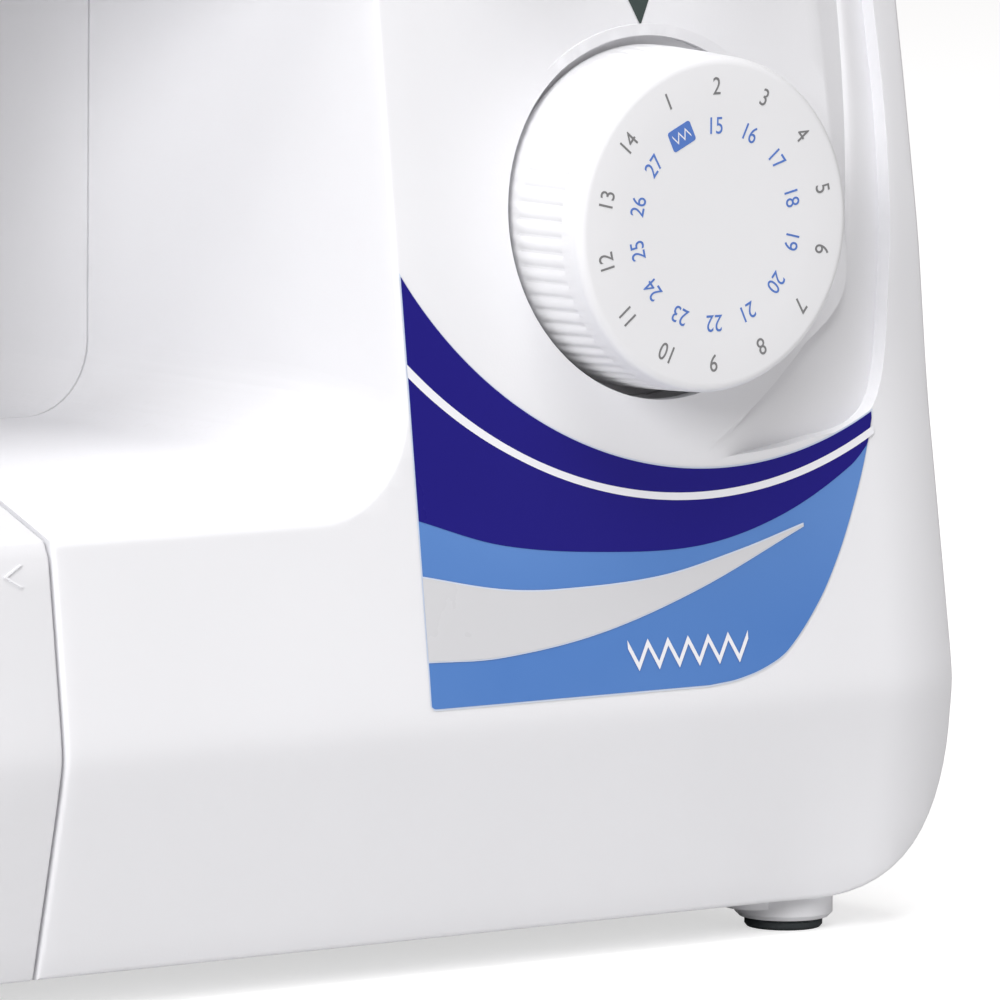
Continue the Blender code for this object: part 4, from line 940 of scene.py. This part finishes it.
# %% Bands of print
def printed_band(name, lower, upper, start, end, lift, finish, columns=240, rows=16):
    """A grid between two lines on the panel, lifted off it by a few hundredths of a millimetre."""
    bm = bmesh.new()
    bmesh.ops.create_grid(bm, x_segments=columns, y_segments=rows, size=0.5)
    for vert in bm.verts:
        x = start + (vert.co.x + 0.5) * (end - start)
        low, high = lower(x), max(lower(x) + 0.001, upper(x))
        z = low + (vert.co.y + 0.5) * (high - low)
        vert.co = Vector((x, front_skin(x, z) - lift, z)) * MM
    bmesh.ops.recalc_face_normals(bm, faces=bm.faces)
    face_forwards(bm)
    return make_piece(name, bm, finish, "machine")


film = printed_band("label_film", label_foot, label_top, 39.75, 140.35, 0.12, FILM_EDGE)
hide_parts("front_label")
printed_band("label_blue", lambda x: label_foot(x) + 0.3, lambda x: label_top(x) - 0.3, 40.0, 140.0, 0.17,
    INK_SKY)
printed_band("label_navy", lambda x: max(navy_foot(x), label_foot(x) + 0.3), lambda x: label_top(x) - 0.3,
    40.0, 140.0, 0.22, INK_NAVY)
printed_band("label_stripe", stripe_foot, stripe_top, 39.9, 140.2, 0.27, FILM_WHITE, 240, 2)
printed_band("label_swoosh_edge", lambda x: swoosh_foot(x) - 0.25, lambda x: swoosh_top(x) + 0.25, 39.9, 123,
    0.25, FILM_EDGE, 200, 8)
printed_band("label_swoosh", swoosh_foot, swoosh_top, 39.9, 122.9, 0.30, FILM_SILVER, 200, 8)

# %% Zig-zag sign and pointer
def make_zigzag():
    """A zig-zag line pulled upwards into a ribbon."""
    bm = bmesh.new()
    points = [(82.5 + 2.2 * i, 51.4 if i % 2 else 55.4) for i in range(13)]
    verts = [bm.verts.new((x * MM, 0, z * MM)) for x, z in points]
    edges = [bm.edges.new(pair) for pair in zip(verts, verts[1:])]
    made = bmesh.ops.extrude_edge_only(bm, edges=edges)["geom"]
    upper = points_of(made)
    bmesh.ops.translate(bm, vec=(0, 0, 1.5 * MM), verts=upper)
    for vert in bm.verts:
        vert.co.y = (front_skin(90, vert.co.z / MM) - 0.32) * MM
    bm.normal_update()
    face_forwards(bm)
    return make_piece("label_zigzag", bm, FILM_WHITE, "machine")


def make_pointer():
    """The printed arrow above the pattern dial."""
    bm = bmesh.new()
    corners = [(95.3, 162.6), (98.9, 169.8), (91.7, 169.8)]
    bm.faces.new([bm.verts.new(Vector((x, front_skin(x, z) - 0.12, z)) * MM) for x, z in corners])
    bm.normal_update()
    face_forwards(bm)
    return make_piece("dial_pointer", bm, INK_POINTER, "machine")


make_zigzag()
make_pointer()
print("sign and pointer printed")

# %% [markdown]
# ## Pattern dial
#
# The pattern dial is a deep knob turned on a lathe. Fine grooves for the fingers run along the middle of
# its side. Each groove takes six points of the circle: two go in fully and the two beside them a little.
# Its numbers are text, made a mesh and laid on the face. The outer ring counts to 14 in grey, the inner
# ring goes on in blue.

# %% Dial body
DIAL_FACE, DIAL_BACK, RIBS = -80.1, WELL_FLOOR - 0.8, 67


def make_pattern_dial():
    depth = DIAL_BACK - DIAL_FACE
    rim = [(29.3 - 1.7 + 1.7 * math.sin(a), 1.7 - 1.7 * math.cos(a))
        for a in (math.radians(15 * i) for i in range(7))]
    side = [(29.45, 0.22 * depth), (29.5, 0.24 * depth), (29.55, 0.28 * depth), (29.75, 0.5 * depth)]
    side += [(29.9, 0.72 * depth), (29.95, 0.76 * depth), (29.97, 0.79 * depth), (30.0, depth)]
    foot = [(5, depth), (5, -46 - DIAL_FACE), (0, -46 - DIAL_FACE)]
    profile = foot[::-1] + side[::-1] + rim[::-1] + [(20, 0.0), (0, 0.0)]
    bm = turned(profile, "Y", (DIAL_X, DIAL_FACE, DIAL_Z), RIBS * 6)
    for vert in bm.verts:
        out = Vector((vert.co.x / MM - DIAL_X, vert.co.z / MM - DIAL_Z))
        share = (vert.co.y / MM - DIAL_FACE) / depth
        if out.length > 29 and 0.23 < share < 0.77:
            step = round((math.atan2(out.y, out.x) / math.tau) * RIBS * 6) % 6
            inwards = (0.34, 0.34, 0.1, 0.0, 0.0, 0.1)[step]
            out *= 1 - inwards / out.length
            vert.co.x, vert.co.z = (DIAL_X + out.x) * MM, (DIAL_Z + out.y) * MM
    return make_piece("pattern_dial_turned", bm, DIAL_WHITE, "pattern_selector", ["pattern_dial"],
        24)


dial = make_pattern_dial()
print("dial faces:", len(dial.data.polygons))

# %% Dial numbers
def number_mesh(text, height):
    """A number as a thin solid, centred, in the plane of X and Y."""
    curve = bpy.data.curves.new("number", "FONT")
    curve.body = text
    curve.size = height / 0.7 * MM
    curve.align_x, curve.align_y = "CENTER", "CENTER"
    curve.extrude = 0.02 * MM
    curve.resolution_u = 6
    lettering = bpy.data.objects.new("number", curve)
    scene.collection.objects.link(lettering)
    graph = bpy.context.evaluated_depsgraph_get()
    mesh = bpy.data.meshes.new_from_object(lettering.evaluated_get(graph))
    bpy.data.objects.remove(lettering)
    return mesh


def ring_of_numbers(name, numbers, radius, height, finish):
    """Numbers round the dial, clockwise, tops outward. Each comes with its place in the ring of 14."""
    ring = bmesh.new()
    for text, place in numbers:
        mesh = number_mesh(text, height)
        turn = -math.tau * place / 14
        xs, ys = ([v.co[i] for v in mesh.vertices] for i in (0, 1))
        middle = Vector(((min(xs) + max(xs)) / 2, (min(ys) + max(ys)) / 2, 0))
        mesh.transform(
            Matrix.Translation(Vector((DIAL_X, DIAL_FACE - 0.03, DIAL_Z)) * MM)
            @ Matrix.Rotation(math.radians(90), 4, "X") @ Matrix.Rotation(turn, 4, "Z")
            @ Matrix.Translation((0, radius * MM, 0)) @ Matrix.Diagonal((0.86, 1, 1, 1))
                @ Matrix.Translation(-middle)
        )
        ring.from_mesh(mesh)
        bpy.data.meshes.remove(mesh)
    face_outwards(ring)
    return make_piece(name, ring, finish, "pattern_selector")


ring_of_numbers("dial_numbers_outer", [(str(n), n - 2) for n in range(1, 15)], 24.1, 3.05, INK_GREY)
ring_of_numbers("dial_numbers_inner", [(str(n), n - 15) for n in range(15, 28)], 17.2, 2.95, INK_BLUE)
print("numbers printed: 27")

# %% Dial tile
def make_tile():
    """A small blue tile under the figure 1, with a zig-zag on it."""
    turn = Matrix.Translation(Vector((DIAL_X, DIAL_FACE - 0.02,
        DIAL_Z)) * MM) @ Matrix.Rotation(math.tau / 14, 4, "Y").inverted()
    tile = plate([(-2.6, 15.4, 0.5), (2.6, 15.4, 0.5), (2.6, 19.2, 0.5), (-2.6, 19.2, 0.5)], "Y", 0, 0.05)
    bmesh.ops.transform(tile, matrix=turn @ Matrix.Translation((0, -0.03 * MM, 0)), verts=tile.verts)
    make_piece("dial_tile", tile, INK_BLUE, "pattern_selector")
    bm = bmesh.new()
    verts = [bm.verts.new(Vector((-1.9 + 0.76 * i, -0.045, 16.3 if i % 2 else 17.9)) * MM) for i in range(6)]
    edges = [bm.edges.new(pair) for pair in zip(verts, verts[1:])]
    made = bmesh.ops.extrude_edge_only(bm, edges=edges)["geom"]
    bmesh.ops.translate(bm, vec=(0, 0, 0.5 * MM), verts=points_of(made))
    bmesh.ops.transform(bm, matrix=turn, verts=bm.verts)
    bm.normal_update()
    face_forwards(bm)
    make_piece("dial_tile_stitch", bm, FILM_WHITE, "pattern_selector")


make_tile()
print("tile printed")

# %% [markdown]
# ## Flat-bed attachment
#
# The attachment is the part of the bed that slides off to the left. Its section is drawn once and pulled
# along the machine, its left corners are rounded, and then its slot for the free arm and its store are
# cut out.

# %% Attachment
def bed_section(wall=0.0):
    low = BASE_BOTTOM
    steps = [low, 14, 22, 30, 36, 39, 41, 42.5, 44, 45.5, 47, 49, 52, 58, 66, 74, 78.5]
    front = [(front_skin(-60, z) + wall, z, 0) for z in steps]
    rise = [(BED_EDGE_Y + wall + d, BED_EDGE_Z + shoulder(d) - wall, 0)
        for d in (1.2, 4, 8, 12, 16, 20, 23, 26, 29, 32, 35, 38)]
    back = [(HALF_DEPTH - wall, BED_TOP - wall, 5), (HALF_DEPTH - wall, low, 0)]
    return front + rise + back


def corner_tool(x, y, radius, side):
    """What a round upright corner takes off a square one."""
    bm = block((x - 6, min(y - side * 6, y + side * radius), 0),
        (x + radius, max(y - side * 6, y + side * radius), 100))
    post = hole("Z", (x + radius, y + side * radius, -5), radius, 110, 96)
    return carve(bm, "DIFFERENCE", post)


def make_attachment():
    left, right = -176.0, BED_SEAM_X - 0.7
    body = plate(bed_section(), "X", left, right, 0.7, 3)
    slot = block((-158, -17.1, -5), (0, 52.1, 100))
    store = plate(
        [(-63, 14, 2), (-63, 72, 2), (-38.5, 80, 3), (-19.6, 80, 2), (-19.6, 14, 2)], "X", -109,
        right - WALL
    )
    body = carve(body, "DIFFERENCE", corner_tool(left, -76, 22, 1), corner_tool(left, HALF_DEPTH, 20, -1))
    body = carve(body, "DIFFERENCE", slot)
    body = carve(body, "DIFFERENCE", store, block((left + 24, 54.6, 0), (right - WALL, 77.7, 83)))
    return carve(
        body, "DIFFERENCE",
        block((-150, -58, 0), (-112, -19.6, 80)),
        block((-104, -38.6, 79), (-44, -22.4, 100), 0.0),
        block((-152.6, -30, 88.5), (-112.4, -10, 100)),
    )


attachment = make_piece("bed_attachment_moulded", make_attachment(), COVER_WHITE, "attachment",
    ["bed_attachment"], 30)
print("attachment faces:", len(attachment.data.polygons))

# %% Chevron on the attachment
def make_chevron():
    """A small raised arrow that says which way the attachment slides."""
    bm = bmesh.new()
    line = [(-42.1, 77.75), (-45.3, 75.9), (-42.1, 74.05)]
    verts = [bm.verts.new((x * MM, 0, z * MM)) for x, z in line]
    edges = [bm.edges.new(pair) for pair in zip(verts, verts[1:])]
    made = bmesh.ops.extrude_edge_only(bm, edges=edges)["geom"]
    bmesh.ops.translate(bm, vec=(0.65 * MM, 0, 0), verts=points_of(made))
    for vert in bm.verts:
        vert.co.y = (front_skin(-60, vert.co.z / MM) + 0.1) * MM
    made = bmesh.ops.extrude_face_region(bm, geom=bm.faces[:])["geom"]
    bmesh.ops.translate(bm, vec=(0, -0.35 * MM, 0), verts=points_of(made))
    face_outwards(bm)
    return make_piece("attachment_arrow", bm, COVER_WHITE, "attachment")


make_chevron()
print("arrow raised")

# %% [markdown]
# ## Face cover, free arm and base
#
# The face cover closes the left of the head. It is the head's own section pulled left and rounded at its
# end. The free arm is a long rounded box. The base tray holds four bosses, each with a rubber pad.

# %% Face cover
def make_face_cover():
    heights = [160, 170, 180, 200, 220, 240, 255, 264] + [270 + 1.6 * i for i in range(6)]
    front = [(front_skin(HEAD_LEFT, z), z) for z in heights]
    top = [(8, BODY_TOP - 0.6), (SEAM_Y + LAND, BODY_TOP - 0.6)]
    top += [(SEAM_Y + LAND + (TOP_STEP_RUN - LAND) * t, BODY_TOP - 0.6 - (TOP_STEP - 0.6) * ease(t, 0, 1))
        for t in (0.2, 0.4, 0.6, 0.8, 1.0)]
    back = []
    for z in (278, 276, 274, 272, 270, 264, 255, 240, 220, 195, 175, 160):
        lowered = TOP_STEP * ramp(z, BODY_TOP - 30, BODY_TOP)
        back.append((rear_skin(HEAD_LEFT, z), z - lowered))
    bm = bmesh.new()
    joint, left = HEAD_LEFT - GAP, -180.5
    verts = [bm.verts.new(Vector((joint, y, z)) * MM) for y, z in front + top + back]
    edges = [bm.edges.new(pair) for pair in zip(verts, verts[1:])]
    made = bmesh.ops.extrude_edge_only(bm, edges=edges)["geom"]
    moved = points_of(made)
    bmesh.ops.translate(bm, vec=((left - joint) * MM, 0, 0), verts=moved)
    rim = [g for g in made if isinstance(g, bmesh.types.BMEdge) and g.is_boundary
        and all(v in set(moved) for v in g.verts)]
    ends = [v for v in moved if sum(e in set(rim) for e in v.link_edges) == 1]
    closing = bm.edges.new(ends)
    bmesh.ops.contextual_create(bm, geom=rim + [closing])
    bmesh.ops.bevel(
        bm, geom=rim, affect="EDGES", offset_type="OFFSET", offset=9 * MM, segments=7, profile=0.5,
        material=-1,
        clamp_overlap=True,
    )
    bmesh.ops.recalc_face_normals(bm, faces=bm.faces)
    return with_wall(bm, (-1, 0, 0), (left, 20, 215))


face = make_piece("face_cover_moulded", make_face_cover(), COVER_WHITE, "machine", ["face_cover"],
    30)
print("face cover faces:", len(face.data.polygons))

# %% Free arm
def make_free_arm():
    low, high = (-154, -16.7, 40), (BED_SEAM_X - GAP, 51.7, BED_TOP)
    arm = block(low, high, 4.0, 6)
    inside = block([v + WALL for v in low], (high[0] + 5, high[1] - WALL, high[2] - WALL), 2.0, 3)
    arm = carve(arm, "DIFFERENCE", inside)
    return carve(arm, "DIFFERENCE", block((-152.3, -20, 88.4), (-112.7, 47.3, 95)))


arm = make_piece("free_arm_moulded", make_free_arm(), COVER_WHITE, "machine", ["free_arm_cover"], 30)
print("free arm faces:", len(arm.data.polygons))

# %% Base tray, bosses and pads
FEET = [(132.5, -54), (132.5, 62), (-138, 5), (-138, 40)]


def make_base():
    tray = block((-32.1, -61, 6.6), (130, 75.4, 9.4), 0.6, 2)
    tray = carve(tray, "UNION", block((-150, -4, 6.6), (-30, 49, 9.4), 0.6, 2))
    for x, y in FEET:
        neck = x - 7 if x > 0 else x
        tray = carve(tray, "UNION", hole("Z", (neck, y, 4), 5, 4, 48))
        boss = turned([(0, 4.2), (8.8, 4.2), (8.8, 0.8), (8.0, 0.0), (0, 0)], "Z", (x, y, 1.9), 72)
        tray = carve(tray, "UNION", boss)
    return tray


base = make_piece("base_tray", make_base(), COVER_WHITE, "machine", ["bottom_cover"], 30)
for number, (x, y) in enumerate(FEET, 1):
    pad = turned([(0, 1.65), (6.6, 1.65), (7.0, 1.3), (7.0, 0.5), (6.6, 0), (0, 0)], "Z", (x, y, 0), 72)
    make_piece(f"rubber_pad_{number}", pad, FOOT_RUBBER, "machine", [f"foot_pad_{number}"])
print("base faces:", len(base.data.polygons))

# %% [markdown]
# ## Small dials, wheel and fittings
#
# The three small dials share one profile. The handwheel is a lathe form with a dished face.
# All of them are turned at fine steps, so their outlines are round even when seen close.

# %% Small dials
def small_dial(name, x, z, radius, back, face, shaft_end, body, node):
    depth, height = shaft_end - face, back - face
    profile = [(0, depth), (4, depth), (4, height), (radius, height), (radius, 2.6), (radius - 0.5, 1.0),
        (radius - 1.8, 0.1), (radius - 3.5, 0.35), (0, 0.35)]
    bm = turned(profile, "Y", (x, face, z), 168)
    for vert in bm.verts:
        out = Vector((vert.co.x / MM - x, vert.co.z / MM - z))
        if out.length > radius - 0.1 and vert.co.y / MM > face + 3.5 and vert.co.y / MM < back - 0.3:
            step = round(math.atan2(out.y, out.x) / math.tau * 168) % 6
            if step < 2:
                out *= 1 - 0.4 / out.length
                vert.co.x, vert.co.z = (x + out.x) * MM, (z + out.y) * MM
    cut_across(bm, "Y", [face + 3.4, back - 1.4])
    mark = block((x - 0.5, face + 0.2, z + radius - 7), (x + 0.5, face + 0.6, z + radius - 2.4), 0.1, 1)
    make_piece(name + "_mark", mark, INK_GREY, body)
    return make_piece(name + "_turned", bm, DIAL_WHITE, body, [node], 28)


small_dial("length_dial", 118, 205, 14, -54.6, -67, -40, "length_selector", "length_dial")
small_dial("width_dial", 72, 205, 14, -54.6, -67, -40, "width_selector", "width_dial")
small_dial("tension_dial", -70, 240, 11, -17, -27, -2, "tension_selector", "tension_dial")
print("small dials: 3")

# %% Handwheel
def make_handwheel():
    profile = [
        (0, 22.6), (10, 22.6), (11.4, 22.0), (13, 20.2), (17, 19.2), (22, 18.8), (25.5, 19.4), (28, 21.4),
        (29.4, 22),
        (31, 21.6), (32.2, 20.2), (33, 17), (33, 7), (32.4, 4), (31, 2), (29, 0.7), (27, 0), (4.3, 0),
        (4.3, 12), (0, 12),
    ]
    bm = turned(profile, "X", (157.5, SEAM_Y, 232), 192)
    for vert in bm.verts:
        out = Vector((vert.co.y / MM - SEAM_Y, vert.co.z / MM - 232))
        if out.length > 32.9:
            step = round(math.atan2(out.y, out.x) / math.tau * 192) % 8
            if step < 2:
                out *= 1 - 0.7 / out.length
                vert.co.y, vert.co.z = (SEAM_Y + out.x) * MM, (232 + out.y) * MM
    return make_piece("handwheel_turned", bm, CONTROL_GREY, "drive", ["handwheel"], 28)


wheel = make_handwheel()
print("handwheel faces:", len(wheel.data.polygons))

# %% Spool pin, bobbin winder and stop
spool = turned([(0, 44), (3.4, 44), (4, 43.6), (5, 42), (5, 36.3), (4.6, 36), (2.8, 36), (2.8, 0), (0, 0)],
    "Z", (30, 4, 244.6), 64)
make_piece("spool_pin_turned", spool, CONTROL_GREY, "spool", ["spool_pin"])
winder = turned([(0, 37), (1.2, 37), (2.0, 36.4), (3, 35), (3, 22.5), (8.7, 22.5), (9, 22.2), (9, 19.9),
    (8.7, 19.6), (3, 19.6), (3, 0), (0, 0)], "Z", (106, 4, 261), 72)
make_piece("bobbin_winder_turned", winder, DIAL_WHITE, "winder", ["bobbin_winder"])
stop = turned([(0, 9), (3.4, 9), (4.4, 8.6), (6, 7), (6, 0.3), (5.7, 0), (0, 0)], "Z",
    (128, 4, BODY_TOP + GAP), 72)
make_piece("winder_stop_turned", stop, DIAL_WHITE, "machine", ["winder_stop"])
print("thread fittings: 3")

# %% Carrying handle
def make_handle():
    corners = [
        (-72, 34.5, 2), (-61, 34.5, 2), (-61, 50, 5), (61, 50, 5), (61, 34.5, 2), (72, 34.5, 2),
        (72, 60, 10), (-72, 60, 10),
    ]
    return plate(corners, "Z", 268.8, 278, 2.4, 4)


make_piece("carry_handle_moulded", make_handle(), COVER_WHITE, "handle", ["carry_handle"], 30)
print("handle made")

# %% [markdown]
# ## The works inside, and the small parts
#
# The frame, shafts, motor and sewing parts keep the CAD's shapes, which are right. A copy of each is
# merged, its flat facets are joined into faces, and a small bevel catches the light on its edges, as on
# real parts.

# %% Parts that keep the CAD's shape
def refined(node, finish, body, width=0.3, segments=2):
    """A copy of a CAD node with its triangles merged and its sharp edges eased."""
    bm = bmesh.new()
    bm.from_mesh(frame["nodes"][node].data)
    bmesh.ops.remove_doubles(bm, verts=bm.verts, dist=0.001 * MM)
    bmesh.ops.dissolve_limit(bm, angle_limit=math.radians(1.5), verts=bm.verts, edges=bm.edges)
    obj = make_piece(node + "_finished", bm, finish, body, [node], 38)
    ease_edges = obj.modifiers.new("eased_edges", "BEVEL")
    ease_edges.width = width * MM
    ease_edges.segments = segments
    ease_edges.limit_method = "ANGLE"
    ease_edges.angle_limit = math.radians(42)
    return obj


BODY_OF = {node: body for body, nodes in frame["record"]["behaviour"]["bodies"].items() for node in nodes}
FINISH_OF = {
    "attachment_lid": COVER_WHITE, "reverse_lever": DIAL_WHITE, "buttonhole_lever": CONTROL_GREY,
    "presser_lever": CONTROL_GREY, "thread_guide": CONTROL_GREY, "motor": WORKS_BLACK,
    "bobbin_case": WORKS_BLACK,
    "pattern_cam": WORKS_BLACK, "power_inlet": WORKS_BLACK, "power_switch": WORKS_BLACK,
    "drive_belt": FOOT_RUBBER,
    "timing_belt": FOOT_RUBBER, "arm_shaft": STEEL_ALONG, "motor_pulley": STEEL_ALONG,
    "lower_shaft": STEEL_ALONG,
    "needle_bar": STEEL_UPRIGHT, "needle_link": STEEL_UPRIGHT, "needle_clamp": STEEL_UPRIGHT,
    "clamp_screw": STEEL_ALONG, "needle": STEEL_UPRIGHT, "take_up_lever": STEEL_PLATE,
    "presser_bar": STEEL_UPRIGHT, "presser_spring": STEEL_UPRIGHT, "foot_holder": STEEL_UPRIGHT,
    "presser_foot": STEEL_PLATE, "needle_plate": STEEL_PLATE, "hook": STEEL_UPRIGHT, "feed_dog": STEEL_PLATE,
    "chassis": CAST_METAL, "crank": CAST_METAL, "bush_left": BRONZE, "bush_right": BRONZE,
    "bobbin_cover": CLEAR, "bobbin": CLEAR, "lamp_lens": CLEAR,
}
THIN = {"needle": 0.05, "presser_spring": 0.05, "clamp_screw": 0.15, "take_up_lever": 0.3,
    "needle_plate": 0.2, "presser_foot": 0.25}
for node, finish in FINISH_OF.items():
    refined(node, finish, BODY_OF[node], THIN.get(node, 0.35))
print("parts kept:", len(FINISH_OF))

# %% [markdown]
# ## Check and finish
#
# The CAD nodes that still show are listed, and the cutting tools left behind are removed.

# %% Nodes still showing, and tidying up
left_out = [name for name, obj in frame["nodes"].items() if not obj.hide_render]
print("CAD nodes still showing:", left_out)
for tool in [o for o in bpy.data.objects if o.name.startswith("tool")]:
    bpy.data.objects.remove(tool)
